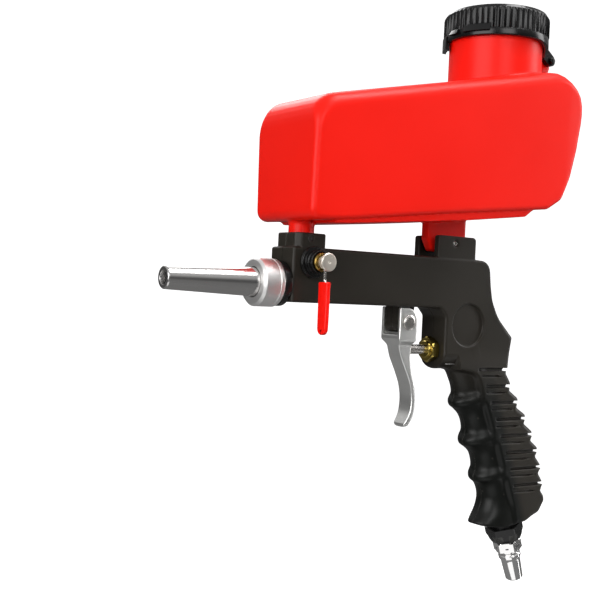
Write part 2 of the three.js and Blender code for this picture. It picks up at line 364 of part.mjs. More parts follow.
add('air_plug', sum(
  plugHex,
  turned([[-4, 0], [-4, 5], [-16, 5], [-16, 0]], 'z', [0, 0], 16),
  turned([[-21, 0], [-21, 7.6], [-22.4, 6.6], [-24, 6.6], [-25.2, 7.6], [-26.8, 7.6], [-28.6, 6.4], [-plugTipU + 1, 5.9], [-plugTipU, 5.4], [-plugTipU, 0]], 'z', [0, 0], 16),
).subtract(turned([[0, 0], [0, 3], [-plugTipU + 3, 3], [-plugTipU - 1, 3.2], [-plugTipU - 1, 0]], 'z', [0, 0], 12)), CHROME(), plugGroup);

export default gun;
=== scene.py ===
# Gravity-feed sandblasting gun: surfaces, materials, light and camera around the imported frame.
import bpy, bmesh, math, json
import numpy as np
from mathutils import Vector, Matrix


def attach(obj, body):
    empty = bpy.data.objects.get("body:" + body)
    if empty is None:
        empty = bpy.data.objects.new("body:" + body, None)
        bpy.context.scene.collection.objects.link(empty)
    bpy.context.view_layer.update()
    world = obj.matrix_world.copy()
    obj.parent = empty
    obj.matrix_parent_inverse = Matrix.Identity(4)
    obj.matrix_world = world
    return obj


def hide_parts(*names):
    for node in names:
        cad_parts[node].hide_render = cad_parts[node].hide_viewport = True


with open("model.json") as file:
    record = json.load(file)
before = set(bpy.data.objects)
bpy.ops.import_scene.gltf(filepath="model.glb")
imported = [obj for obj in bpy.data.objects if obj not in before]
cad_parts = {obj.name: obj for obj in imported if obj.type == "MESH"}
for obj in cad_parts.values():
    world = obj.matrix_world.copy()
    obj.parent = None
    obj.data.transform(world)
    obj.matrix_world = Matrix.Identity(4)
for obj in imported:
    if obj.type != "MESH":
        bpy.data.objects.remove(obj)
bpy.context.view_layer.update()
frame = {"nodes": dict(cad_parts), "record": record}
sc = bpy.context.scene

# Shapes are worked out in millimetres in the part's working frame (X along the nozzle axis),
# and moved to the row frame, whose origin is the middle of the hand grip.
ORG = np.array([172.0, 0.0, -95.0])


def row(p):
    return (np.asarray(p, float) - ORG) / 1000.0


# ------------------------------------------------------------------ mesh helpers
def make(name, verts, faces, body, slot, nodes=(), mats=(), sharp=32, smooth=True):
    me = bpy.data.meshes.new(name)
    v = row(verts)
    faces = [list(f) for f in faces] if not isinstance(faces, np.ndarray) else faces.tolist()
    me.from_pydata(v.tolist(), [], faces)
    me.validate()
    if smooth:
        me.shade_smooth()
        if sharp:
            me.set_sharp_from_angle(angle=math.radians(sharp))
    ob = bpy.data.objects.new(name, me)
    sc.collection.objects.link(ob)
    for m in mats:
        me.materials.append(m)
    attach(ob, body)
    if nodes:
        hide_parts(*nodes)
    return ob


LIM = 0.49


def fillet(pts, closed=True, seg=5):
    """Polyline with each corner (x, y, radius) rounded by an arc."""
    out, n = [], len(pts)
    P = [np.array(p[:2], float) for p in pts]
    R = [p[2] if len(p) > 2 else 0.0 for p in pts]
    for i in range(n):
        if R[i] <= 0 or (not closed and i in (0, n - 1)):
            out.append(P[i]); continue
        a, b, c = P[i - 1], P[i], P[(i + 1) % n]
        u, w = a - b, c - b
        lu, lw = np.linalg.norm(u), np.linalg.norm(w)
        if lu < 1e-9 or lw < 1e-9:
            out.append(b); continue
        u, w = u / lu, w / lw
        ang = math.acos(max(-1, min(1, float(u @ w))))
        if ang > math.pi - 0.02:
            out.append(b); continue
        t = min(R[i] / math.tan(ang / 2), lu * LIM, lw * LIM)
        r = t * math.tan(ang / 2)
        bis = (u + w) / np.linalg.norm(u + w)
        cen = b + bis * (r / math.sin(ang / 2))
        p0, p1 = b + u * t, b + w * t
        a0, a1 = math.atan2(*(p0 - cen)[::-1]), math.atan2(*(p1 - cen)[::-1])
        d = (a1 - a0 + math.pi) % (2 * math.pi) - math.pi
        for k in range(seg + 1):
            q = a0 + d * k / seg
            out.append(cen + r * np.array([math.cos(q), math.sin(q)]))
    return np.array(out)


AXES = {"x": ((1, 0, 0), (0, 1, 0), (0, 0, 1)), "y": ((0, 1, 0), (0, 0, 1), (1, 0, 0)), "z": ((0, 0, 1), (1, 0, 0), (0, 1, 0))}


def revolve(profile, frame3, origin, seg=72, closed=False, rfun=None, bev=4):
    """Turns a profile of (height, radius, corner radius) about an axis. Returns vertices and faces."""
    A, B, C = (np.array(v, float) for v in (AXES[frame3] if isinstance(frame3, str) else frame3))
    O = np.array(origin, float)
    pr = fillet(profile, closed=closed, seg=bev)
    th = np.arange(seg) * 2 * math.pi / seg
    V, F, ring = [], [], []
    for h, r in pr:
        if r < 1e-6:
            ring.append([len(V)]); V.append(O + h * A)
        else:
            s = len(V)
            for t in th:
                rr = r if rfun is None else rfun(t, h, r)
                V.append(O + h * A + rr * (math.cos(t) * B + math.sin(t) * C))
            ring.append(list(range(s, s + seg)))
    m = len(ring)
    for k in range(m if closed else m - 1):
        a, b = ring[k], ring[(k + 1) % m]
        for i in range(seg):
            j = (i + 1) % seg
            if len(a) == 1 and len(b) == 1:
                continue
            if len(a) == 1:
                F.append((a[0], b[j], b[i]))
            elif len(b) == 1:
                F.append((a[i], a[j], b[0]))
            else:
                F.append((a[i], a[j], b[j], b[i]))
    return orient(np.array(V), F)


def orient(V, F):
    vol = 0.0
    for f in F:
        p = V[list(f)]
        for k in range(1, len(f) - 1):
            vol += float(np.dot(p[0], np.cross(p[k], p[k + 1])))
    if vol < 0:
        F = [tuple(reversed(f)) for f in F]
    return V, F


def join(*vf):
    V, F, o = [], [], 0
    for v, f in vf:
        V.append(np.asarray(v)); F += [tuple(int(i) + o for i in q) for q in f]; o += len(v)
    return np.vstack(V), F


def prism(pts, axis, a, b, bevel=0.0):
    """Outline pulled along an axis from a to b. pts are in the two other axes, in cyclic order."""
    A, B, C = (np.array(v, float) for v in AXES[axis])
    pts = np.asarray(pts, float)[:, :2]
    n = len(pts)
    V = [a * A + p[0] * B + p[1] * C for p in pts] + [b * A + p[0] * B + p[1] * C for p in pts]
    F = [tuple(range(n - 1, -1, -1)), tuple(range(n, 2 * n))]
    F += [(i, (i + 1) % n, n + (i + 1) % n, n + i) for i in range(n)]
    return orient(np.array(V), F)


def scratch(vf, name="scratch"):
    me = bpy.data.meshes.new(name)
    me.from_pydata(np.asarray(vf[0]).tolist(), [], [list(map(int, f)) for f in vf[1]])
    ob = bpy.data.objects.new(name, me)
    sc.collection.objects.link(ob)
    return ob


def boolean(base, *ops):
    """base and ops are (vertices, faces); each op is ('+' or '-', shape). Exact solver, result returned as (V, F)."""
    ob = scratch(base)
    made = [ob]
    for sign, s in ops:
        o = scratch(s)
        made.append(o)
        m = ob.modifiers.new("b", "BOOLEAN")
        m.operation = "UNION" if sign == "+" else "DIFFERENCE"
        m.solver = "EXACT"
        m.object = o
    dg = bpy.context.evaluated_depsgraph_get()
    e = ob.evaluated_get(dg)
    me = e.to_mesh()
    V = np.empty(len(me.vertices) * 3); me.vertices.foreach_get("co", V)
    V = V.reshape(-1, 3).copy()
    F = [tuple(p.vertices) for p in me.polygons]
    e.to_mesh_clear()
    for o in made:
        d = o.data; bpy.data.objects.remove(o); bpy.data.meshes.remove(d)
    return V, F


# ------------------------------------------------------------------ implicit surfaces
def rmin(a, b, r):
    """union with a round fillet"""
    if r <= 0: return np.minimum(a, b)
    u, v = np.maximum(r - a, 0), np.maximum(r - b, 0)
    return np.maximum(r, np.minimum(a, b)) - np.sqrt(u * u + v * v)


def rmax(a, b, r):
    """intersection with a rounded edge"""
    if np.isscalar(r) and r <= 0: return np.maximum(a, b)
    u, v = np.maximum(r + a, 0), np.maximum(r + b, 0)
    return np.minimum(-r, np.maximum(a, b)) + np.sqrt(u * u + v * v)


def polygon(pts, seg=5):
    P = fillet(pts, True, seg)
    keep = [i for i in range(len(P)) if np.linalg.norm(P[i] - P[i - 1]) > 1e-4]
    P = P[keep]
    Q = np.roll(P, -1, axis=0)

    def d(x, z):
        x, z = np.broadcast_arrays(np.asarray(x, np.float32), np.asarray(z, np.float32))
        best = np.full(x.shape, 1e12, np.float32)
        inside = np.zeros(x.shape, bool)
        for (ax, az), (bx, bz) in zip(P, Q):
            ex, ez = bx - ax, bz - az
            wx, wz = x - ax, z - az
            t = np.clip((wx * ex + wz * ez) / (ex * ex + ez * ez), 0, 1)
            dx, dz = wx - t * ex, wz - t * ez
            best = np.minimum(best, dx * dx + dz * dz)
            if abs(ez) > 1e-12:
                c = (az <= z) != (bz <= z)
                inside ^= c & (x < ax + (z - az) * ex / ez)
        s = np.sqrt(best)
        return np.where(inside, -s, s)
    return d


def cached(f, lo, hi, step=0.2):
    """A field of x and z only, sampled once on a fine sheet and read back by bilinear interpolation."""
    nx, nz = int((hi[0] - lo[0]) / step) + 2, int((hi[1] - lo[1]) / step) + 2
    gx, gz = lo[0] + step * np.arange(nx), lo[1] + step * np.arange(nz)
    T = np.empty((nx, nz), np.float32)
    for a in range(0, nx, 128):
        T[a:a + 128] = f(gx[a:a + 128, None], gz[None, :])

    def g(x, z):
        x, z = np.broadcast_arrays(x, z)
        u = np.clip((x - lo[0]) / step, 0, nx - 1.001); v = np.clip((z - lo[1]) / step, 0, nz - 1.001)
        i, j = u.astype(np.int32), v.astype(np.int32)
        u, v = u - i, v - j
        return (T[i, j] * (1 - u) + T[i + 1, j] * u) * (1 - v) + (T[i, j + 1] * (1 - u) + T[i + 1, j + 1] * u) * v
    return g


def surface(f, lo, hi, h, iters=3, cap=0.8):
    lo, hi = np.array(lo, float), np.array(hi, float)
    n = np.ceil((hi - lo) / h).astype(int) + 1
    ax = [(lo[i] + h * np.arange(n[i])).astype(np.float32) for i in range(3)]
    V = np.broadcast_to(f(ax[0][:, None, None], ax[1][None, :, None], ax[2][None, None, :]), tuple(n)).astype(np.float32)
    ins = V < 0
    cs = [(i, j, k) for i in (0, 1) for j in (0, 1) for k in (0, 1)]
    tot = np.zeros(tuple(n - 1), np.int8)
    for i, j, k in cs:
        tot += ins[i:n[0] - 1 + i, j:n[1] - 1 + j, k:n[2] - 1 + k]
    act = (tot > 0) & (tot < 8)
    idx = np.full(act.shape, -1, np.int64)
    ijk = np.argwhere(act)
    idx[act] = np.arange(len(ijk))
    acc, cnt = np.zeros((len(ijk), 3)), np.zeros(len(ijk))
    for a in range(3):
        for c in cs:
            if c[a]: continue
            e = list(c); e[a] = 1
            va = V[ijk[:, 0] + c[0], ijk[:, 1] + c[1], ijk[:, 2] + c[2]]
            vb = V[ijk[:, 0] + e[0], ijk[:, 1] + e[1], ijk[:, 2] + e[2]]
            x = (va < 0) != (vb < 0)
            t = np.where(x, va / np.where(x, va - vb, 1), 0)
            p = np.array(c, float)[None, :].repeat(len(ijk), 0); p[:, a] = t
            acc[x] += p[x]; cnt[x] += 1
    P = lo + h * (ijk + acc / cnt[:, None])
    quads = []
    for a in range(3):
        b, c = (a + 1) % 3, (a + 2) % 3
        s0 = [slice(None)] * 3; s1 = [slice(None)] * 3
        s0[a], s1[a] = slice(0, n[a] - 1), slice(1, n[a])
        x = ins[tuple(s0)] != ins[tuple(s1)]
        e = np.argwhere(x)
        e = e[(e[:, b] > 0) & (e[:, c] > 0) & (e[:, b] < n[b] - 1) & (e[:, c] < n[c] - 1)]
        up = ins[e[:, 0], e[:, 1], e[:, 2]]

        def cell(db, dc):
            q = e.copy(); q[:, b] -= db; q[:, c] -= dc
            return idx[q[:, 0], q[:, 1], q[:, 2]]
        q = np.stack([cell(1, 1), cell(0, 1), cell(0, 0), cell(1, 0)], 1)
        q[~up] = q[~up][:, ::-1]
        quads.append(q)
    F = np.vstack(quads)
    return settle(f, P, h, iters, cap), F


def settle(f, P, h, iters=3, cap=0.8):
    e = 0.05
    for _ in range(iters):
        x, y, z = (P[:, i].astype(np.float64) for i in range(3))
        d = f(x, y, z)
        g = np.stack([f(x + e, y, z) - d, f(x, y + e, z) - d, f(x, y, z + e) - d], 1) / e
        gg = np.maximum((g * g).sum(1), 0.05)
        s = (d / gg)[:, None] * g
        L = np.linalg.norm(s, axis=1)
        k = np.minimum(1, cap * h / np.maximum(L, 1e-9))
        P = P - s * k[:, None]
    return P


def smooth01(x, a, b):
    t = np.clip((x - a) / (b - a), 0, 1)
    return t * t * (3 - 2 * t)


# ------------------------------------------------------------------ materials
def nodes_of(m):
    m.use_nodes = True
    nt = m.node_tree
    return nt, nt.nodes, nt.links, nt.nodes["Principled BSDF"]


def surface_mat(name, base, rough, metal=0.0, vary=0.06, rvary=0.05, scale=60.0, grain=900.0, bump=0.03, bump_dist=0.0002, edge=None,
                coat=0.0, coat_rough=0.1, spec=0.5, aniso=0.0, brush=None, low=None, ior=1.5):
    """Base colour with slow blotches, fine grain in roughness and bump. With low, a painted shade darkens the lower
    front of the grip; with edge, a painted highlight lightens convex edges. All set in object space.
    """
    m = bpy.data.materials.new(name)
    nt, N, L, p = nodes_of(m)
    p.inputs["Metallic"].default_value = metal
    p.inputs["IOR"].default_value = ior
    p.inputs["Specular IOR Level"].default_value = spec
    p.inputs["Coat Weight"].default_value = coat
    p.inputs["Coat Roughness"].default_value = coat_rough
    if aniso:
        p.inputs["Anisotropic"].default_value = aniso
    tc = N.new("ShaderNodeTexCoord")
    big = N.new("ShaderNodeTexNoise"); big.inputs["Scale"].default_value = scale; big.inputs["Detail"].default_value = 3
    L.new(tc.outputs["Object"], big.inputs["Vector"])
    ramp = N.new("ShaderNodeValToRGB")
    lo = [max(0.0, c * (1 - vary)) for c in base] + [1]
    hi = [min(1.0, c * (1 + vary)) for c in base] + [1]
    ramp.color_ramp.elements[0].position, ramp.color_ramp.elements[1].position = 0.3, 0.7
    ramp.color_ramp.elements[0].color, ramp.color_ramp.elements[1].color = lo, hi
    L.new(big.outputs["Fac"], ramp.inputs["Fac"])
    col = ramp.outputs["Color"]
    # painted shade: the lower front (finger side) of the grip is blended to a darker colour, standing in for shade
    if low is not None:
        sep = N.new("ShaderNodeSeparateXYZ"); L.new(tc.outputs["Object"], sep.inputs["Vector"])
        lr = N.new("ShaderNodeMapRange"); lr.inputs["From Min"].default_value, lr.inputs["From Max"].default_value = low[1], low[2]
        lr.inputs["To Min"].default_value, lr.inputs["To Max"].default_value = 1.0, 0.0
        L.new(sep.outputs["Z"], lr.inputs["Value"])
        dt = N.new("ShaderNodeVectorMath"); dt.operation = "DOT_PRODUCT"; dt.inputs[1].default_value = (0.943, 0.0, 0.332)
        L.new(tc.outputs["Object"], dt.inputs[0])
        qr = N.new("ShaderNodeMapRange"); qr.inputs["From Min"].default_value, qr.inputs["From Max"].default_value = 0.0016, 0.0072
        qr.inputs["To Min"].default_value, qr.inputs["To Max"].default_value = 1.0, 0.0
        L.new(dt.outputs["Value"], qr.inputs["Value"])
        shade_mask = N.new("ShaderNodeMath"); shade_mask.operation = "MULTIPLY"
        L.new(lr.outputs["Result"], shade_mask.inputs[0]); L.new(qr.outputs["Result"], shade_mask.inputs[1])
        shade_mix = N.new("ShaderNodeMix"); shade_mix.data_type = "RGBA"
        L.new(shade_mask.outputs[0], shade_mix.inputs["Factor"]); L.new(col, shade_mix.inputs["A"]); shade_mix.inputs["B"].default_value = (*low[0], 1)
        col = shade_mix.outputs["Result"]
    fine = N.new("ShaderNodeTexNoise"); fine.inputs["Scale"].default_value = grain; fine.inputs["Detail"].default_value = 4
    if brush:
        mp = N.new("ShaderNodeMapping"); mp.inputs["Scale"].default_value = brush
        L.new(tc.outputs["Object"], mp.inputs["Vector"]); L.new(mp.outputs["Vector"], fine.inputs["Vector"])
    else:
        L.new(tc.outputs["Object"], fine.inputs["Vector"])
    # painted highlight: convex edges, found by pointiness, are lightened with fine grain
    if edge is not None:
        ge = N.new("ShaderNodeNewGeometry")
        er = N.new("ShaderNodeValToRGB")
        er.color_ramp.elements[0].position, er.color_ramp.elements[1].position = 0.52, 0.62
        L.new(ge.outputs["Pointiness"], er.inputs["Fac"])
        mul = N.new("ShaderNodeMath"); mul.operation = "MULTIPLY"; L.new(er.outputs["Color"], mul.inputs[0]); L.new(fine.outputs["Fac"], mul.inputs[1])
        highlight_mix = N.new("ShaderNodeMix"); highlight_mix.data_type = "RGBA"
        L.new(mul.outputs[0], highlight_mix.inputs["Factor"]); L.new(col, highlight_mix.inputs["A"]); highlight_mix.inputs["B"].default_value = (*edge, 1)
        col = highlight_mix.outputs["Result"]
    L.new(col, p.inputs["Base Color"])
    rr = N.new("ShaderNodeMapRange")
    rr.inputs["From Min"].default_value, rr.inputs["From Max"].default_value = 0.3, 0.7
    rr.inputs["To Min"].default_value, rr.inputs["To Max"].default_value = max(0.02, rough - rvary), rough + rvary
    mixn = N.new("ShaderNodeMath"); mixn.operation = "ADD"; mixn.use_clamp = True
    half = N.new("ShaderNodeMath"); half.operation = "MULTIPLY_ADD"; half.inputs[1].default_value = 0.5; half.inputs[2].default_value = 0.0
    L.new(fine.outputs["Fac"], half.inputs[0])
    half2 = N.new("ShaderNodeMath"); half2.operation = "MULTIPLY"; half2.inputs[1].default_value = 0.5
    L.new(big.outputs["Fac"], half2.inputs[0])
    L.new(half.outputs[0], mixn.inputs[0]); L.new(half2.outputs[0], mixn.inputs[1])
    L.new(mixn.outputs[0], rr.inputs["Value"]); L.new(rr.outputs["Result"], p.inputs["Roughness"])
    if bump:
        b = N.new("ShaderNodeBump"); b.inputs["Strength"].default_value = bump; b.inputs["Distance"].default_value = bump_dist
        L.new(fine.outputs["Fac"], b.inputs["Height"]); L.new(b.outputs["Normal"], p.inputs["Normal"])
    return m


M = {}
M["hopper_red"] = surface_mat("hopper_red_plastic", (0.85, 0.009, 0.003), 0.36, vary=0.03, scale=14, grain=1100, bump=0.03, spec=0.18)
# low paints shade on the lower front of the grip; edge paints highlights on the convex edges
M["body_black"] = surface_mat("body_black_plastic", (0.0195, 0.0168, 0.0130), 0.36, vary=0.12, scale=18, grain=1500, bump=0.08, spec=0.22, edge=(0.05, 0.046, 0.04), low=((0.0040, 0.0046, 0.0038), 0.022, 0.052))
M["lid_black"] = surface_mat("lid_black_plastic", (0.0035, 0.0035, 0.0037), 0.20, vary=0.1, scale=22, grain=1300, bump=0.02, spec=0.34)
M["rubber"] = surface_mat("rubber_seal", (0.02, 0.02, 0.02), 0.75, grain=1200, bump=0.1)
# edge paints thin highlights on the ring edges
M["black_metal"] = surface_mat("black_oxide_metal", (0.004, 0.004, 0.004), 0.26, grain=1300, bump=0.01, spec=0.36, edge=(0.06, 0.06, 0.056))
M["nozzle_steel"] = surface_mat("nozzle_turned_steel", (0.60, 0.59, 0.58), 0.20, metal=1.0, grain=1.0, vary=0.03, scale=30, brush=(2600, 40, 40), bump=0.006)
M["nut_alu"] = surface_mat("nut_turned_aluminium", (0.84, 0.83, 0.82), 0.44, metal=1.0, grain=1.0, vary=0.03, scale=30, brush=(2400, 40, 40), bump=0.012)
M["trigger_alu"] = surface_mat("trigger_satin_aluminium", (0.86, 0.86, 0.84), 0.36, metal=1.0, vary=0.04, scale=60, grain=1500, bump=0.012)
M["brass"] = surface_mat("brass_turned", (0.44, 0.33, 0.08), 0.20, metal=1.0, vary=0.10, scale=160, grain=1300, bump=0.008)
M["satin"] = surface_mat("steel_satin", (0.76, 0.70, 0.62), 0.40, metal=1.0, vary=0.05, scale=90, grain=1300, bump=0.004)
# a darker copy of brass: painted shade for the packing nut tucked behind the lever head
M["brass_dark"] = surface_mat("brass_shaded_copy", (0.26, 0.17, 0.045), 0.28, metal=1.0, vary=0.2, scale=160, grain=1300, bump=0.008)
M["steel"] = surface_mat("steel_zinc", (0.66, 0.63, 0.60), 0.26, metal=1.0, vary=0.05, scale=90, grain=1300, bump=0.008)
M["sleeve"] = surface_mat("sleeve_red_vinyl", (0.93, 0.006, 0.002), 0.34, vary=0.04, scale=70, grain=1000, bump=0.012, spec=0.22)
M["chrome"] = surface_mat("plug_chrome_plate", (0.88, 0.87, 0.86), 0.07, metal=1.0, vary=0.02, rvary=0.02, scale=90, grain=1200, bump=0.003)
SLOT_MAT = {"body_black": "body_black", "hopper_red": "hopper_red", "lid_black": "lid_black", "rubber_black": "rubber", "black_metal": "black_metal",
            "nozzle_steel": "nozzle_steel", "nut_aluminium": "nut_alu", "trigger_aluminium": "trigger_alu", "brass": "brass", "steel": "steel",
            "sleeve_red": "sleeve", "plug_chrome": "chrome"}
slot_of = {s["node"]: s["material_slot"] for s in frame["record"]["subparts"]}
for n, ob in frame["nodes"].items():
    ob.data.materials.clear()
    ob.data.materials.append(M["black_metal"] if n == "spout_grub_screw" else M[SLOT_MAT[slot_of[n]]])

# ------------------------------------------------------------------ camera at the photograph's viewpoint
PSI, PITCH, ROLL, FPX = 0.6061946714, -0.0079802612, 0.0458727921, 1038.2728
fw = np.array([math.sin(PSI) * math.cos(PITCH), math.cos(PSI) * math.cos(PITCH), math.sin(PITCH)])
rt = np.array([math.cos(PSI), -math.sin(PSI), 0.0])
up = np.cross(rt, fw)
r2, u2 = math.cos(ROLL) * rt + math.sin(ROLL) * up, -math.sin(ROLL) * rt + math.cos(ROLL) * up
cam = bpy.data.objects.new("camera", bpy.data.cameras.new("camera"))
sc.collection.objects.link(cam)
cam.data.sensor_width = 36
cam.data.lens = FPX * 36 / 600
cam.data.clip_start, cam.data.clip_end = 0.01, 50
mw = Matrix.Identity(4)
for i in range(3):
    mw[i][0], mw[i][1], mw[i][2] = r2[i], u2[i], -fw[i]
loc = row([-333.2625, -501.1586, -4.4482])
for i in range(3):
    mw[i][3] = loc[i]
cam.matrix_world = mw
sc.camera = cam

# ------------------------------------------------------------------ hopper
SPOUT_X, NECK_X, NECK_R, NECK_TOP, HINGE = 12.8, 163.6, 30.6, 174.0, (209.5, 161.5)
LIM = 0.96
_hop_main = polygon([(-0.9, 35.9, 6.5), (24.6, 38.2), (104.8, 48.1), (161.9, 54.3, 20), (181.0, 56.3, 5), (192.4, 63.2, 9), (199.9, 78.4, 30), (205.1, 96.5, 30), (208.1, 114.0, 20), (210.6, 152.1, 24), (-0.9, 106.4, 17)], 7)
LIM = 0.49
_hop_low = polygon([(16.5, 35.4, 2.5), (27.9, 36.2, 30), (83.5, 41.2, 60), (118.3, 44.6, 60), (164.0, 50.2, 2), (172.4, 56.5, 2), (168, 70, 2), (15.5, 60, 2)], 5)
_hop_hook = polygon([(186, 136), (203.5, 136), (206.8, 147, 12), (212.4, 156.0, 6), (213.1, 161.5, 3), (211.6, 165.3, 2.5), (207.6, 165.3, 2.5), (205.6, 160.5, 3), (199.6, 149.5, 4), (186, 145.5)], 5)
_hop_tab = polygon([(108.4, 60), (108.4, 33, 2), (112.6, 25.2, 3), (139, 25.2, 3), (141.6, 29, 2), (141.6, 60)], 4)


def hop_half(x, z):
    w = 31.4 + (40.7 - 31.4) * np.clip((x + 1) / 195.0, 0, 1.0)
    top = 106.6 + 0.2163 * x
    return w - 0.030 * np.clip(top - 20 - z, -10, 80)


def hop_box(x, y, z, d=0.0):
    top = 106.6 + 0.2163 * x
    up_ = smooth01(z, top - 20, top - 5)
    r = 2.6 + 5.6 * up_ + (0.9 * (1 - smooth01(x, 4, 16)) + 2.4 * smooth01(x, 176, 200) * smooth01(z, 60, 110)) * (1 - up_)
    if d: r = np.maximum(r - d, 0.8)
    return rmax(_hop_main(x, z) + d, (np.abs(y) - hop_half(x, z) + d) * 0.995, r)


_hop_main = cached(_hop_main, (-8, 18), (218, 182), 0.3)
_hop_low = cached(_hop_low, (-8, 18), (218, 182), 0.3)
_hop_hook = cached(_hop_hook, (-8, 18), (218, 182), 0.3)
_hop_tab = cached(_hop_tab, (-8, 18), (218, 182), 0.3)


def f_hopper(x, y, z):
    ay = np.abs(y)
    outer = hop_box(x, y, z)
    low = rmax(_hop_low(x, z), ay - (hop_half(x, z) - 3.0), 1.0)
    outer = rmin(outer, low, 0.6)
    rho = np.sqrt((x - NECK_X) ** 2 + y * y)
    neck = rmax(rho - NECK_R - 0.35 * smooth01(z, 163, 165) , z - NECK_TOP, 0.9)
    neck = np.maximum(neck, 120 - z)
    outer = rmin(outer, neck, 1.8)
    hook = rmax(_hop_hook(x, z), ay - 4.0, 1.4)
    outer = rmin(outer, hook, 2.0)
    rs = np.sqrt((x - SPOUT_X) ** 2 + y * y)
    sp = np.maximum(np.maximum(rs - 7.6, 22.6 - z), z - 40)
    outer = rmin(outer, sp, 1.6)
    tab = rmax(_hop_tab(x, z), ay - 3.0, 0.6)
    outer = rmin(outer, tab, 1.0)
    inner = hop_box(x, y, z, 2.2)
    inner = np.minimum(inner, np.maximum(rho - (NECK_R - 2.6), 130 - z))
    inner = rmin(inner, np.maximum(rs - 5.2 - 3.6 * smooth01(z, 33, 40), np.maximum(z - 42, -1e3)), 1.5)
    hole = np.sqrt((x - HINGE[0]) ** 2 + (z - HINGE[1]) ** 2) - 1.75
    pin = np.sqrt((x - 125.4) ** 2 + (z - 30.8) ** 2) - 1.65
    return np.maximum(np.maximum(outer, -inner), np.maximum(-hole, -pin))


V, F = surface(f_hopper, (-4, -44, 20), (216, 44, 178), 1.1)
make("hopper_shell", V, F, "gun", "hopper_red", ["hopper"], [M["hopper_red"]], sharp=40)

# ------------------------------------------------------------------ hopper lid
CAP_R, CAP_B, CAP_T = 34.6, 165.5, 185.4
NR = 60


def rib(t, h, r):
    if r > 33.0 and CAP_B + 3.9 < h < CAP_T - 2.4:
        k = 0.5 + 0.5 * math.cos(t * NR)
        fade = min(1.0, (CAP_T - 2.4 - h) / 1.6, (h - CAP_B - 3.9) / 0.5)
        return r + 1.1 * fade * k ** 5.0
    return r


lid = revolve([(CAP_T - 0.9, 1.5, 0.2), (CAP_T - 0.9, 25.6, 0.5), (CAP_T - 0.1, 26.8, 0.7), (CAP_T, 30.2, 2.0), (CAP_T - 0.7, 32.5, 1.0), (CAP_T - 2.6, 33.6, 0.8), (CAP_T - 4.2, 33.6),
               (CAP_B + 4.4, 33.6), (CAP_B + 4.0, 33.7, 0.1), (CAP_B + 3.8, 34.4, 0.3), (CAP_B, 34.6, 0.7), (CAP_B, NECK_R + 0.8, 0.4),
               (CAP_T - 3.4, NECK_R + 0.8, 0.5), (CAP_T - 3.4, 1.5, 0.2)], "z", (NECK_X, 0, 0), seg=NR * 10, closed=True, rfun=rib, bev=3)


def droop(V):
    """The skirt's plain lower band gets deeper towards the hinge."""
    V = np.array(V, float)
    a = np.degrees(np.arctan2(V[:, 1], V[:, 0] - NECK_X))
    k = 0.7 + 4.6 * smooth01(-np.abs(a), -88, -22)
    low = 1 - smooth01(V[:, 2], CAP_B + 0.5, CAP_B + 3.7)
    V[:, 2] -= k * low
    return V


lid = (droop(lid[0]), lid[1])


def arc_block(a0, a1, r0, r1, z0, z1, slant=0.0, lean=0.0):
    """block on the skirt between two angles; slant leans its ends"""
    out, n = [], 12
    prof = [(r0, z0), (r1, z0 + 0.5), (r1 - lean, z1 - 0.7), (r0, z1)]
    V, F = [], []
    for i in range(n + 1):
        for r, z in prof:
            k = (z - z0) / (z1 - z0)
            a = math.radians(a0 + slant * k + (a1 - a0 - 2 * slant * k) * i / n)
            V.append((NECK_X + r * math.cos(a), r * math.sin(a), z))
    for i in range(n):
        for k in range(4):
            p, q = 4 * i + k, 4 * i + (k + 1) % 4
            F.append((p, q, q + 4, p + 4))
    F += [(3, 2, 1, 0), (4 * n, 4 * n + 1, 4 * n + 2, 4 * n + 3)]
    return orient(np.array(V), F)


ear_out = fillet([(NECK_X + 33.2, CAP_B + 0.3, 0), (206.6, 158.8, 3), (210, 157.9, 3), (212.6, 159.4, 3), (213.2, 161.8, 2), (211.6, 164.8, 3), (206, 168.8, 5), (NECK_X + 33.2, 174, 0)], True, 4)
ears = [prism([(z, x) for x, z in ear_out], "y", a, b) for a, b in ((-8, -4.6), (4.6, 8))]
thumb = arc_block(170, 182, 33.0, 37.0, CAP_B + 1.4, CAP_B + 5.4, 1.0, 1.6)
pad = arc_block(189, 218, 33.0, 36.4, CAP_B + 1.6, CAP_B + 7.4, -1.5, 2.2)
tongue = arc_block(136, 157, 32.6, 35.2, CAP_B - 6.0, CAP_B + 3.4, -2.0)
hole = revolve([(-12, 0), (-12, 1.75), (12, 1.75), (12, 0)], "y", (HINGE[0], 0, HINGE[1]), seg=32)
ears = [boolean(e, ("-", hole)) for e in ears]
lid = boolean(lid, ("+", ears[0]), ("+", ears[1]), ("+", thumb), ("+", pad), ("+", tongue))
make("hopper_lid_shell", *lid, "lid", "lid_black", ["hopper_lid"], [M["lid_black"]], sharp=34)
make("lid_gasket_ring", *revolve([(174.3, 26.4, 0.4), (174.3, 30.6, 0.4), (181.6, 30.6, 0.4), (181.6, 26.4, 0.4)], "z", (NECK_X, 0, 0), seg=96, closed=True, bev=3), "lid", "rubber_black", ["lid_gasket"], [M["rubber"]])
make("lid_pin", *revolve([(-9.6, 0), (-9.6, 2.4, 0.6), (-8.3, 2.4, 0.2), (-8.3, 1.5, 0.1), (9.2, 1.5, 0.6), (9.2, 0)], "y", (HINGE[0], 0, HINGE[1]), seg=32), "gun", "lid_black", ["lid_hinge_pin"], [M["lid_black"]])

# ------------------------------------------------------------------ gun body halves
TILT = math.radians(19.6)
gA, gN = (math.sin(TILT), -math.cos(TILT)), (math.cos(TILT), math.sin(TILT))
GO = (157.0, -50.0)


def on_grip(s, q):
    return GO[0] + s * gA[0] + q * gN[0], GO[1] + s * gA[1] + q * gN[1]


def grip_sq(x, z):
    dx, dz = x - GO[0], z - GO[1]
    return dx * gA[0] + dz * gA[1], dx * gN[0] + dz * gN[1]


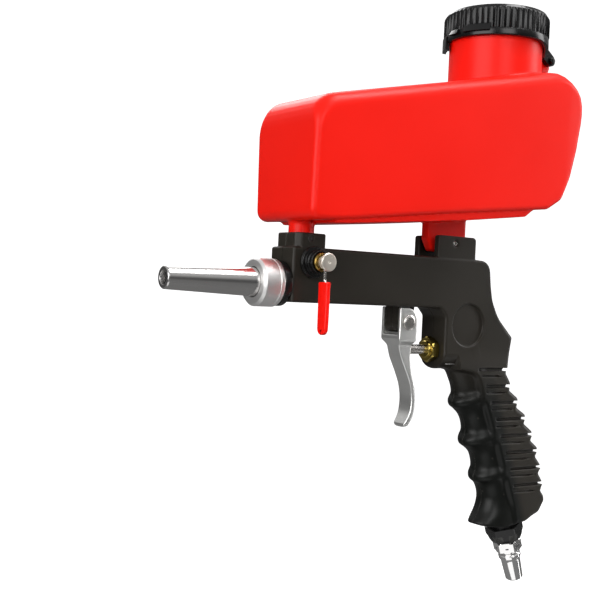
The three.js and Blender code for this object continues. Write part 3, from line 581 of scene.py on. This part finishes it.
# stepped back of the grip: outer corner of each step, then the start of the next one
STEPS = [((180.9, -60.2), (179.0, -63.4)), ((188.6, -71.6), (186.4, -74.9)), ((196.6, -83.0), (194.2, -86.0)), ((204.0, -94.6), (201.4, -97.7)),
         ((209.8, -105.6), (206.8, -109.0)), ((213.6, -117.4), (210.6, -120.7)), ((216.2, -128.9), (213.6, -132.7))]
back = [(158.6, 5.0, 10), (160.6, -4.6, 20), (166.4, -15.5, 24), (181.4, -28.4, 1.8), (177.6, -50.0, 1.0), (175.8, -52.2, 0.8)]
for (ax, az), (bx, bz) in STEPS:
    back += [(ax - 1.9, az + 2.9, 3), (ax - 0.3, az - 0.5, 1.5), (ax - 1.6, az - 1.7, 0.5), (bx, bz - 0.4, 0.8)]
back += [(216.6, -136.4, 3), (217.6, -140.2, 3), (212.4, -148.2, 6), (198.1, -153.5, 20), (182.0, -156.4, 20), (165.7, -155.0, 10)]
LIM = 0.62
_side = polygon([(0, -10.7, 1.2), (114.8, -10.7, 4.5), (119.6, -16, 3), (119.6, -50.3, 2.4), (134, -50.3, 8)]
                + [on_grip(0, -9.2) + (9,), on_grip(17, -10.6) + (3,), on_grip(22, -8.6) + (3,), on_grip(40, -7.4) + (3,), on_grip(46, -8.6) + (3,), on_grip(51, -5.6) + (3,), on_grip(67, -5.2) + (3,),
                   on_grip(72, -7.0) + (3,), on_grip(78, -4.2) + (3,), on_grip(96, -3.6) + (6,), on_grip(108.5, -5.0) + (2,)]
                + [(198.1, -153.5, 20), (212.4, -148.2, 6), (217.6, -140.2, 3), (216.6, -136.4, 3)] + back[::-1][6:]
                + [(156.6, 20.9, 8.0), (143.1, 21.5), (1.0, 21.5, 1.2), (0, 20.5, 0.5)], 6)
_ear = polygon([(110.7, 15), (110.7, 35.5, 1.6), (143.1, 35.5, 2.4), (143.1, 15)], 4)
_lug = polygon([(84.8, -9), (84.8, -22, 5.5), (86.6, -27, 5), (95.4, -27, 5), (97.2, -22, 5.5), (97.2, -9)], 5)
_cav = polygon([(31, -8), (31, 18.6), (142, 18.6), (149, 17.6), (153.4, 12.6), (155, 3), (157.5, -7), (162, -16), (170, -25), (176, -34), (173, -48), on_grip(8, 12), on_grip(40, 20), on_grip(70, 25), on_grip(100, 22), on_grip(100, -12), on_grip(60, -9), on_grip(20, -12), (140, -48), (122.4, -47.6), (122.4, -13), (117, -8)], 2)
_butt = polygon([(100, 20), (240, 20), (240, -132), (217.6, -140.2, 3), (212.4, -148.2, 6), (198.1, -153.5, 20), (182.0, -156.4, 20), (165.7, -155.0, 12), (152.4, -151.3, 1.5), (140, -149)], 6)
LIM = 0.49
BOX2 = ((-4, -164), (226, 40))
_side, _ear, _lug, _cav, _butt = (cached(f, *BOX2, 0.25) for f in (_side, _ear, _lug, _cav, _butt))
# finger side of the grip: front edge and half thickness at each distance down the grip
FS = np.array([[-34, -8, 9.0], [-20, -15, 10.6], [-8, -22.0, 10.9], [0, -20.9, 10.9], [6, -20.2, 10.9], [11, -21.3, 10.9], [15.0, -24.6, 12.78], [17.4, -24.7, 13.13], [21, -22.2, 11.9], [26, -19.2, 11.03], [33, -17.9, 10.85], [38.5, -19.2, 11.2], [43.0, -22.8, 12.95], [45.6, -22.9, 13.3], [49, -20.2, 12.08], [54, -16.8, 11.2], [60.5, -15.8, 11.03], [66, -17.2, 11.38], [70.0, -20.2, 12.95], [72.4, -20.3, 13.3], [76, -17.8, 12.25], [82, -16.4, 11.38], [88, -17.6, 11.38], [94, -22.6, 11.9], [99.8, -30.2, 12.8], [104, -34.4, 13.0], [112, -38, 13.2]])
_t = np.linspace(FS[0, 0], FS[-1, 0], 600)


def hermite(t, T, Y):
    m = np.gradient(Y, T)
    i = np.clip(np.searchsorted(T, t) - 1, 0, len(T) - 2)
    h = T[i + 1] - T[i]
    u = np.clip((t - T[i]) / h, 0, 1)
    return (2 * u ** 3 - 3 * u ** 2 + 1) * Y[i] + (u ** 3 - 2 * u ** 2 + u) * h * m[i] + (-2 * u ** 3 + 3 * u ** 2) * Y[i + 1] + (u ** 3 - u ** 2) * h * m[i + 1]


_fr, _fb = hermite(_t, FS[:, 0], FS[:, 1]), hermite(_t, FS[:, 0], FS[:, 2])
THICK = [(149.4, -49.9), (156.0, -60.8), (161, -71.7), (166.3, -82.9), (171.3, -94.0), (176.6, -105.4), (181.7, -116.6), (185.5, -127.9)]
THICK_END = [186, 200, 200, 210, 216, 220, 224, 226]
THIN = [(152.2, -54.1, 171.0), (156.7, -65.0, 174.4), (161.9, -76.2, 182.3), (166.6, -87.5, 189.5), (172.0, -98.7, 194.8), (176.9, -109.8, 201.4), (182.3, -121.2, 206.2), (186.0, -132.4, 207.5)]
SCREWS = [(38, 13.2), (101, 13.2), (150.6, 10), (171.2, -33.4)] + [on_grip(62, 20), on_grip(94, 18)]


def cyl_y(x, z, cx, cz, r):
    return np.sqrt((x - cx) ** 2 + (z - cz) ** 2) - r


def slots(x, z):
    g = np.full(np.broadcast(x, z).shape, 1e3)
    for (cx, cz), e in zip(THICK, THICK_END):
        w = 1.05 - 0.25 * np.clip((cx + 5 - x) / 5, 0, 1)
        g = np.minimum(g, np.maximum(np.abs(z - cz + 0.004 * (x - cx)) - w, np.maximum(cx - x, x - e)))
    for cx, cz, e in THIN:
        w = 0.66
        g = np.minimum(g, np.maximum(np.abs(z - cz + 0.012 * (x - cx)) - w * np.clip((e - x) / 6, 0.25, 1), np.maximum(cx - x, x - e)) + 0.0)
    return g


def thick_only(x, z):
    g = np.full(np.broadcast(x, z).shape, 1e3)
    for (cx, cz), e in zip(THICK, THICK_END):
        g = np.minimum(g, np.maximum(np.abs(z - cz + 0.004 * (x - cx)) - 1.05, np.maximum(cx - x, x - e)))
    return g


def screw_bosses(x, z):
    g = np.full(np.broadcast(x, z).shape, 1e3)
    for cx, cz in SCREWS:
        g = np.minimum(g, cyl_y(x, z, cx, cz, 3.6))
    return g


_slots, _thick, _boss = (cached(f, *BOX2, 0.2) for f in (slots, thick_only, screw_bosses))


def f_outer(x, y, z):
    ay = np.abs(y)
    s, q = grip_sq(x, z)
    # bar, upper body and side panels of the grip, one plate with rounded edges
    w = 12.0 + 2.3 * smooth01(-z, 36, 66)
    low = smooth01(-z, 12, 30)
    p = rmax(_side(x, z), ay - w, 1.6 + 1.7 * smooth01(q, 4, 14) * low + 1.2 * (1 - smooth01(q, -4, 2)) * smooth01(-z, 46, 58))
    # round lower front of the valve housing, blended back into the flat sides
    rx = np.sqrt(y * y + np.minimum(z + 37.6, 0) ** 2) - 12.4
    p = np.where(x < 142, np.maximum(p, rx - 30 * smooth01(x, 131, 142)), p)
    # finger side
    fr, fb = np.interp(s, _t, _fr), np.interp(s, _t, _fb)
    qc = -6.0
    u, v = np.minimum(q - qc, 0) / (fr - qc), ay / fb
    e = (np.sqrt(u * u + v * v + 1e-9) - 1) * np.minimum(fb, qc - fr)
    e = np.maximum(np.maximum(e, q - 8), -34 - s)
    e = rmax(e, _butt(x, z), 1.6) + 5.0 * smooth01(q, -3.5, 7)
    return rmin(p, e, 1.7)


def body_field(side):
    def f(x, y, z):
        ay = np.abs(y)
        body = f_outer(x, y, z)
        skin = body
        body = np.maximum(body, -rmax(_slots(x, z), -(skin + 1.3), 0.15))
        body = np.maximum(body, -rmax(_thick(x, z), -(skin + 2.7), 0.15))
        # shallow round recess on each side
        body = rmax(body, -rmax(cyl_y(x, z, 139.4, -21.3, 14.0), 10.3 - ay, 0.9), 0.5)
        # socket for the spout, clevis for the rear tab, lug for the trigger
        sock = rmax(rmax(np.maximum(2.4 - x, x - 22.6), ay - 11.8, 1.0), z - 29.8, 1.0)
        sock = rmax(sock, ((2.4 - x) + (ay - 8.6)) * 0.7071, 0.6)
        sock = np.maximum(sock, 15 - z)
        body = rmin(body, sock, 0.5)
        ear = rmax(_ear(x, z), np.abs(ay - 9.5) - 2.2, 0.6)
        body = rmin(body, ear, 0.4)
        body = rmin(body, rmax(_lug(x, z), ay - 6.8, 0.6), 0.4)
        # inside: a wall of about 2.6 mm, with the screw bosses left standing
        inner = np.maximum(np.maximum(skin + 3.1 + 1.5 * smooth01(-z, 34, 46), _cav(x, z)), -_boss(x, z))
        body = np.maximum(body, -inner)
        rx0 = np.sqrt(y * y + z * z)
        body = np.maximum(body, -np.maximum(rx0 - 9.3, x - 32))
        body = np.maximum(body, -np.maximum(np.maximum(np.abs(x - 13.5) - 9.3, ay - 8.8), np.maximum(z - 20.9, -z)))
        body = np.maximum(body, -np.maximum(np.sqrt((x - SPOUT_X) ** 2 + y * y) - 7.9, 19 - z))
        body = np.maximum(body, -cyl_y(x, z, 91, -20.5, 2.6))
        body = np.maximum(body, -cyl_y(x, z, 125.4, 30.8, 1.65))
        body = np.maximum(body, -np.maximum(cyl_y(x, z, 125.4, 30.8, 2.3), 10.3 - ay))
        body = np.maximum(body, -np.maximum(np.sqrt(y * y + (z + 37.6) ** 2) - 5.7, x - 124))
        u = (x - 192.4) * math.sin(math.radians(19.4)) - (z + 158) * math.cos(math.radians(19.4))
        vv = (x - 192.4) * math.cos(math.radians(19.4)) + (z + 158) * math.sin(math.radians(19.4))
        body = np.maximum(body, -np.maximum(np.sqrt(vv * vv + y * y) - 9.4, np.abs(u + 12) - 15))
        if side < 0:
            body = np.maximum(body, -np.maximum(cyl_y(x, z, 13.6, 12.9, 6.3), y))
            body = np.maximum(body, -np.maximum(cyl_y(x, z, 12.2, 26.6, 1.75), y + 5))
        for cx, cz in SCREWS:
            if side > 0:
                body = np.maximum(body, -cyl_y(x, z, cx, cz, 1.7))
                body = np.maximum(body, -np.maximum(cyl_y(x, z, cx, cz, 3.1), 9 - ay))
            else:
                body = np.maximum(body, -np.maximum(cyl_y(x, z, cx, cz, 1.45), ay - 8.2))
        return rmax(body, 0.02 + (y if side < 0 else -y), 0.05)
    return f


BH = 0.52
for side, nm, node in ((-1, "body_left", "body_left_shell"), (1, "body_right", "body_right_shell")):
    f = body_field(side)
    V, F = surface(f, (-2, -16 if side < 0 else -1, -160), (222, 1 if side < 0 else 16, 38), BH)
    make(nm, V, F, "gun", "body_black", [node], [M["body_black"]], sharp=48)

# ------------------------------------------------------------------ body screws (right side)
cross = join(prism([(-0.35, -1.5), (0.35, -1.5), (0.35, 1.5), (-0.35, 1.5)], "y", 9.9, 12), prism([(-1.5, -0.35), (1.5, -0.35), (1.5, 0.35), (-1.5, 0.35)], "y", 9.9, 12))
for i, (cx, cz) in enumerate(SCREWS):
    s = revolve([(-7.8, 0), (-7.8, 1.1, 0.3), (9.3, 1.2, 0.1), (9.3, 2.7, 0.1), (10.4, 2.7, 0.5), (11.0, 1.7, 1.0), (11.0, 0)], "y", (0, 0, 0), seg=32)
    c1 = prism([(-0.35, -1.5), (0.35, -1.5), (0.35, 1.5), (-0.35, 1.5)], "y", 9.9, 12)
    c2 = prism([(-1.5, -0.35), (1.5, -0.35), (1.5, 0.35), (-1.5, 0.35)], "y", 9.9, 12)
    if i == 0:
        screw = boolean(s, ("-", c1), ("-", c2))
    make("screw_%d" % (i + 1), screw[0] + np.array([cx, 0, cz]), screw[1], "gun", "steel", ["body_screw_%d" % (i + 1)], [M["steel"]])

# ------------------------------------------------------------------ nozzle, nut, mixing chamber
make("nozzle_tube", *revolve([(-76.1, 3.9, 0.3), (-76.1, 5.9, 0.5), (-75.3, 6.45, 0.4), (-17.4, 8.45, 0.2), (-17.4, 10, 0.3), (-14.6, 10, 0.3), (-14.6, 5.7, 0.2), (4, 5.7, 0.3), (4, 5.2, 0.2), (-16, 4.2, 3), (-72, 3.3, 2)], "x", (0, 0, 0), seg=96, closed=True), "gun", "nozzle_steel", ["nozzle"], [M["nozzle_steel"]])
make("nozzle_nut_ring", *revolve([(-19.4, 8.75, 0.4), (-19.4, 12.6, 0.5), (-17.9, 13.95, 0.3), (-9.2, 13.95, 0.2), (-9.0, 13.7, 0.1), (-8.4, 13.7, 0.1), (-8.2, 13.95, 0.2), (-5.3, 13.95, 1.0), (-5.3, 10.6, 0.3), (-17.7, 10.6, 0.3), (-17.7, 8.75, 0.2)], "x", (0, 0, 0), seg=128, closed=True), "gun", "nut_aluminium", ["nozzle_nut"], [M["nut_alu"]])
barrel = revolve([(-13, 6, 0.2), (-13, 10.2, 0.5), (-5, 10.2, 0.2), (-5, 13.3, 0.7), (-0.3, 13.3, 0.5), (-0.3, 9, 0.3), (27, 9, 0.4), (27, 5, 0.2), (20, 5, 0.1), (20, 6, 0.1)], "x", (0, 0, 0), seg=64, closed=True)
duct = prism(fillet([(4.5, -8.5, 1.5), (22.5, -8.5, 1.5), (22.5, 8.5, 1.5), (4.5, 8.5, 1.5)], True, 4), "z", 2, 20.6)
ch = boolean(barrel, ("+", duct), ("-", revolve([(0, 0), (0, 4.2), (30, 4.2), (30, 0)], "z", (SPOUT_X, 0, 0), seg=40)), ("-", revolve([(-20, 0), (-20, 4.56), (6.6, 4.56), (6.6, 0)], "y", (13.6, 0, 12.9), seg=48)), ("-", revolve([(-30, 0), (-30, 6), (20, 6), (20, 0)], "x", (0, 0, 0), seg=64)))
make("mixing_chamber_body", *ch, "gun", "black_metal", ["mixing_chamber"], [M["black_metal"]])

# ------------------------------------------------------------------ media valve
RC = (13.6, 0, 12.9)
g1 = revolve([(-8.9, 4.56, 0.2), (-8.9, 5.9, 0.3), (-12.3, 5.9, 0.1), (-12.3, 9.2, 0.5), (-13.6, 9.2, 0.3), (-13.7, 8.9, 0.1), (-14.0, 8.9, 0.1), (-14.1, 9.1, 0.3), (-14.9, 9.1, 0.7), (-14.9, 6.9, 0.3), (-17.0, 6.9, 0.2), (-17.2, 6.4, 0.1), (-17.7, 6.4, 0.1), (-17.9, 6.8, 0.2), (-20.6, 6.8, 0.7), (-20.6, 5.9, 0.2), (-19.6, 5.9, 0.1), (-19.6, 4.56, 0.2)], "y", RC, seg=96, closed=True)
make("media_gland", *g1, "gun", "black_metal", ["media_valve_gland"], [M["black_metal"]])
# the packing nut takes the darker brass copy, a painted shade
make("media_packing", *revolve([(-19.9, 3.66, 0.2), (-19.9, 5.5, 0.2), (-21.6, 5.5, 0.3), (-22.3, 4.8, 0.3), (-22.3, 3.66, 0.2)], "y", RC, seg=72, closed=True), "gun", "brass", ["media_packing_nut"], [M["brass_dark"]])
sp = revolve([(-28.4, 0), (-28.4, 0.5, 0.1), (-28.25, 0.7, 0.1), (-28.4, 0.95, 0.1), (-28.4, 4.6, 0.3), (-27.9, 5.3, 0.3), (-24.4, 5.3, 0.4), (-23.9, 4.6, 0.3), (-23.9, 3.6, 0.2), (-19.2, 3.6, 0.1), (-19.2, 4.5, 0.2), (6.2, 4.5, 0.3), (6.2, 0)], "y", RC, seg=96)
sp = boolean(sp, ("-", prism([(12.9 - 20, 3), (12.9 - 20, 12.8), (12.9 + 20, 12.8), (12.9 + 20, 3)], "y", -27.4, -22.9)), ("-", revolve([(0, 0), (0, 3.4), (30, 3.4), (30, 0)], "z", (SPOUT_X, 0, 0), seg=32)))
make("media_spindle_turned", *sp, "media_valve", "steel", ["media_spindle"], [M["satin"]])
_strip = polygon([(-27.3, 15.6, 0.5), (-27.3, 2.6, 1), (-29.0, 0.4, 1), (-29.0, -25.6, 1.8), (-24.2, -25.6, 1.8), (-24.2, 0.4, 1), (-25.9, 2.6, 1), (-25.8, 15.6, 0.5)], 4)
V, F = surface(lambda x, y, z: rmax(_strip(y, z), np.abs(x - 12.0) - 0.72, 0.2), (10.6, -30, -27), (13.4, -23, 17), 0.3)
make("lever_strip", V, F, "media_valve", "steel", ["lever_arm"], [M["steel"]], sharp=45)
_slv = polygon([(-31.1, 1.6, 0.8), (-30.9, -18, 20), (-30.5, -28.4, 3.9), (-22.7, -28.4, 3.9), (-22.4, -18, 20), (-22.2, 1.6, 0.8)], 8)


def f_sleeve(x, y, z):
    # a dipped skin: thick at the lever, thin towards the edges, open at the top
    fat = 1.55 - 0.35 * np.clip(np.abs(y + 26.6) / 5.0, 0, 1) ** 2 + 0.12 * smooth01(z, -0.6, 0.6)
    o = rmax(_slv(y, z), np.abs(x - 12.1) - fat, 0.9)
    i = np.maximum(np.maximum(np.abs(y + 26.6) - 2.85, np.abs(x - 12.0) - 0.86), np.maximum(-26.0 - z, z - 5))
    h = np.sqrt((y + 26.6) ** 2 + (z + 26.6) ** 2) - 1.1
    return rmax(np.maximum(o, -i), -h, 0.3)


V, F = surface(f_sleeve, (9.9, -32.8, -30), (14.5, -20.6, 3), 0.3)
make("lever_sleeve_vinyl", V, F, "media_valve", "sleeve_red", ["lever_sleeve"], [M["sleeve"]], sharp=50)

# ------------------------------------------------------------------ trigger
_trg = polygon([(84.0, -11.2, 0.8), (84.0, -31.2, 1.5), (86.2, -34.6, 4), (88.6, -42.5, 20), (93.4, -51.5, 30), (97.4, -60, 30), (99.2, -69, 30), (98.2, -78, 14), (94.3, -84.4, 1.2), (94.4, -86.9, 1.4), (97.4, -86.4, 2), (100.8, -80.4, 14), (102.2, -70.5, 30), (100.8, -60, 30), (97.4, -50, 30), (96.3, -42, 20), (96.8, -33.6, 3), (98.0, -31.8, 1), (98.0, -17.5, 3), (95.2, -12.6, 4), (91, -11.2, 3)], 6)


def f_trigger(x, y, z):
    ay = np.abs(y)
    w = 9.3 - 3.1 * smooth01(-z, 31.2, 36.0) - 1.2 * smooth01(-z, 74, 90)
    t = rmax(_trg(x, z), ay - w, 0.75)
    tip = np.sqrt(np.maximum(ay - 1.2, 0) ** 2 + np.maximum(-z - 82.2, 0) ** 2) - 4.9
    t = rmax(t, np.where(z < -82, tip, -5.0), 0.5)
    slot = np.maximum(ay - 7.15, -28.4 - z)
    t = rmax(t, -slot, 0.4)
    hole = cyl_y(x, z, 91, -20.5, 2.56)
    return np.maximum(t, -hole)


V, F = surface(f_trigger, (82, -10.5, -89), (104, 10.5, -9), 0.5)
make("trigger_lever", V, F, "trigger", "trigger_aluminium", ["trigger"], [M["trigger_alu"]], sharp=50)
PV = (91, 0, -20.5)
make("trigger_pin_rivet", *revolve([(-10.9, 0), (-10.9, 3.4, 1.2), (-10.3, 4.9, 0.4), (-9.7, 4.9, 0.2), (-9.7, 2.5, 0.1), (9.7, 2.5, 0.1), (9.7, 1.8, 0.1), (10.6, 1.8, 0.1), (10.6, 2.4, 0.2), (11.4, 2.2, 0.3), (11.4, 0)], "y", PV, seg=64), "gun", "steel", ["trigger_pin"], [M["steel"]])

# ------------------------------------------------------------------ air valve outside pieces
SZ = -37.6


def hexr(af, phase=0.0):
    def g(t):
        a = (t - phase + math.pi / 6) % (math.pi / 3) - math.pi / 6
        return af / 2 / math.cos(a)
    return g


hx = hexr(14.6, math.radians(0))
gn = revolve([(112.2, 3.22, 0.2), (112.2, 5.2, 0.5), (113.2, 5.6, 0.3), (113.8, 5.6, 0.1), (113.8, 7.2, 0.2), (114.7, 8.5, 0.1), (118.2, 8.5, 0.1), (118.9, 7.6, 0.1), (118.9, 5.3, 0.2), (126, 5.3, 0.3), (126, 3.22, 0.2)], "x", (0, 0, SZ), seg=96, closed=True,
             rfun=lambda t, h, r: min(r, hx(t + math.radians(30 - 90))) if 113.7 < h < 119.0 and r > 6 else r)
make("valve_gland_hex", *gn, "gun", "brass", ["valve_gland_nut"], [M["brass"]], sharp=25)
make("valve_stem_rod", *revolve([(97.6, 0), (97.6, 1.9, 0.2), (98.5, 3.1, 0.3), (128.2, 3.1, 0.3), (128.2, 1.8, 0.1), (133, 1.8, 0.1), (133, 0)], "x", (0, 0, SZ), seg=64), "valve", "steel", ["valve_stem"], [M["steel"]])

# ------------------------------------------------------------------ inlet adaptor and quick plug
PT = math.radians(19.4)
PA = ((math.sin(PT), 0, -math.cos(PT)), (math.cos(PT), 0, math.sin(PT)), (0, 1, 0))
PO = (192.4, 0, -158.0)
hA = hexr(22.4, 0)
ad = revolve([(-26, 3, 0.2), (-26, 5, 0.4), (-12, 5, 0.2), (-12, 9, 0.4), (-2, 9, 0.2), (-1.2, 9.0, 0.1), (-1.2, 12.9, 0.2), (3.4, 12.9, 0.1), (6.8, 11.4, 0.4), (8.9, 10.4, 0.8), (9.8, 8.8, 0.5), (9.8, 5.4, 0.2), (2, 5.4, 0.1), (2, 3, 0.1)], PA, PO, seg=144, closed=True,
             rfun=lambda t, h, r: min(r, hA(t + math.radians(12))) if -1.3 < h < 8.8 and r > 9.5 else r)
make("inlet_adaptor_hex", *ad, "gun", "black_metal", ["inlet_adaptor"], [M["black_metal"]], sharp=22)
hP = hexr(16.8, 0)
pl = revolve([(0, 3, 0.2), (0, 5.0, 0.4), (10.2, 5.0, 0.2), (10.2, 8.6, 0.2), (11.0, 9.7, 0.1), (16.8, 9.7, 0.1), (17.8, 8.4, 0.2), (18.2, 7.6, 0.2), (18.9, 6.9, 0.5), (20.2, 6.9, 0.4), (20.9, 7.6, 0.5), (22.7, 7.6, 0.6), (24.4, 6.7, 0.8), (25.2, 6.6, 0.5), (38.7, 5.95, 0.2), (39.6, 5.1, 0.4), (39.6, 3.2, 0.4), (36, 3, 0.5)], PA, PO, seg=144, closed=True,
             rfun=lambda t, h, r: min(r, hP(t + math.radians(20))) if 10.1 < h < 17.9 and r > 7.7 else r)
make("air_plug_turned", *pl, "gun", "plug_chrome", ["air_plug"], [M["chrome"]], sharp=24)

# ------------------------------------------------------------------ hopper pins
make("rear_roll_pin", *revolve([(-11.2, 1.0, 0.1), (-11.2, 1.6, 0.25), (11.2, 1.6, 0.25), (11.2, 1.0, 0.1)], "y", (125.4, 0, 30.8), seg=40, closed=True), "gun", "steel", ["hopper_rear_pin"], [M["steel"]])

# ------------------------------------------------------------------ floor, backdrop, light
def pale(name, glow, tint):
    m = bpy.data.materials.new(name)
    nt, N, L, p = nodes_of(m)
    nz = N.new("ShaderNodeTexNoise"); nz.inputs["Scale"].default_value = 2
    rp = N.new("ShaderNodeValToRGB"); rp.color_ramp.elements[0].color = (tint, tint, tint, 1); rp.color_ramp.elements[1].color = (tint + 0.02, tint + 0.02, tint + 0.02, 1)
    L.new(nz.outputs["Fac"], rp.inputs["Fac"]); L.new(rp.outputs["Color"], p.inputs["Base Color"]); L.new(rp.outputs["Color"], p.inputs["Emission Color"])
    p.inputs["Roughness"].default_value = 1.0
    p.inputs["Specular IOR Level"].default_value = 0.0
    p.inputs["Emission Strength"].default_value = glow
    return m


def only_seen(ob):
    ob.visible_diffuse = ob.visible_glossy = ob.visible_transmission = ob.visible_shadow = False


floor_me = bpy.data.meshes.new("floor")
bm = bmesh.new(); bmesh.ops.create_circle(bm, cap_ends=True, segments=96, radius=7.0); bm.to_mesh(floor_me); bm.free()
floor = bpy.data.objects.new("floor", floor_me)
floor.location = (0, 0, -0.55)
sc.collection.objects.link(floor)
floor_me.materials.append(pale("floor_pale", 0.72, 0.88))
only_seen(floor)
dome = scratch(revolve([(-0.0, 7.0), (1.2, 7.4, 0.5), (4.0, 7.4, 2), (9.0, 4.0, 2), (10.0, 0)], "z", (0, 0, -0.56), seg=96), "backdrop")
dome.data.shade_smooth()
dome.data.materials.append(pale("backdrop_white", 0.9, 0.95))
only_seen(dome)

world = bpy.data.worlds.new("studio"); sc.world = world; world.use_nodes = True
nt = world.node_tree
N, L, bg = nt.nodes, nt.links, nt.nodes["Background"]
tc = N.new("ShaderNodeTexCoord"); sx = N.new("ShaderNodeSeparateXYZ"); L.new(tc.outputs["Generated"], sx.inputs[0])
mr = N.new("ShaderNodeMapRange"); mr.inputs["From Min"].default_value = -1; mr.inputs["From Max"].default_value = 1; L.new(sx.outputs["Z"], mr.inputs["Value"])
wr = N.new("ShaderNodeValToRGB")
wr.color_ramp.elements[0].position = 0.0; wr.color_ramp.elements[0].color = (0.22, 0.22, 0.22, 1)
wr.color_ramp.elements[1].position = 1.0; wr.color_ramp.elements[1].color = (0.60, 0.60, 0.60, 1)
for ps, v in ((0.36, 0.19), (0.46, 0.08), (0.56, 0.10), (0.70, 0.45)):
    e = wr.color_ramp.elements.new(ps); e.color = (v, v, v, 1)
L.new(mr.outputs["Result"], wr.inputs["Fac"]); L.new(wr.outputs["Color"], bg.inputs["Color"])
bg.inputs["Strength"].default_value = 1.0
sc.view_settings.view_transform = "Standard"


def area(name, loc, target, size, power, sy=None, color=(1, 1, 1)):
    l = bpy.data.lights.new(name, "AREA"); l.energy = power; l.size = size; l.color = color
    if sy: l.shape = "RECTANGLE"; l.size_y = sy
    o = bpy.data.objects.new(name, l); sc.collection.objects.link(o)
    o.location = loc
    o.rotation_mode = "QUATERNION"
    o.rotation_quaternion = (Vector(target) - Vector(loc)).to_track_quat("-Z", "Y")
    return o


area("left_panel", (-2.15, -0.62, 0.48), (0, 0, 0.10), 1.7, 36, 1.6)
area("front_panel", (-0.75, -2.2, 0.85), (0, 0, 0.06), 1.1, 15.5, 1.1)
area("right_panel", (1.45, -0.62, 0.55), (0, 0, 0.10), 0.6, 10, 1.2)
area("low_left", (-0.53, -0.48, -0.76), (0.03, 0, -0.08), 0.95, 1.9, 0.7)
area("strip_right", (0.99, -0.57, -0.47), (0, 0, -0.06), 0.10, 1.0, 0.9)
area("top_key", (0.35, -0.55, 1.5), (0, 0, 0.06), 0.7, 16, 0.7)
area("back_high", (0.3, 1.2, 1.3), (0, 0, 0.05), 0.9, 12, 0.9)
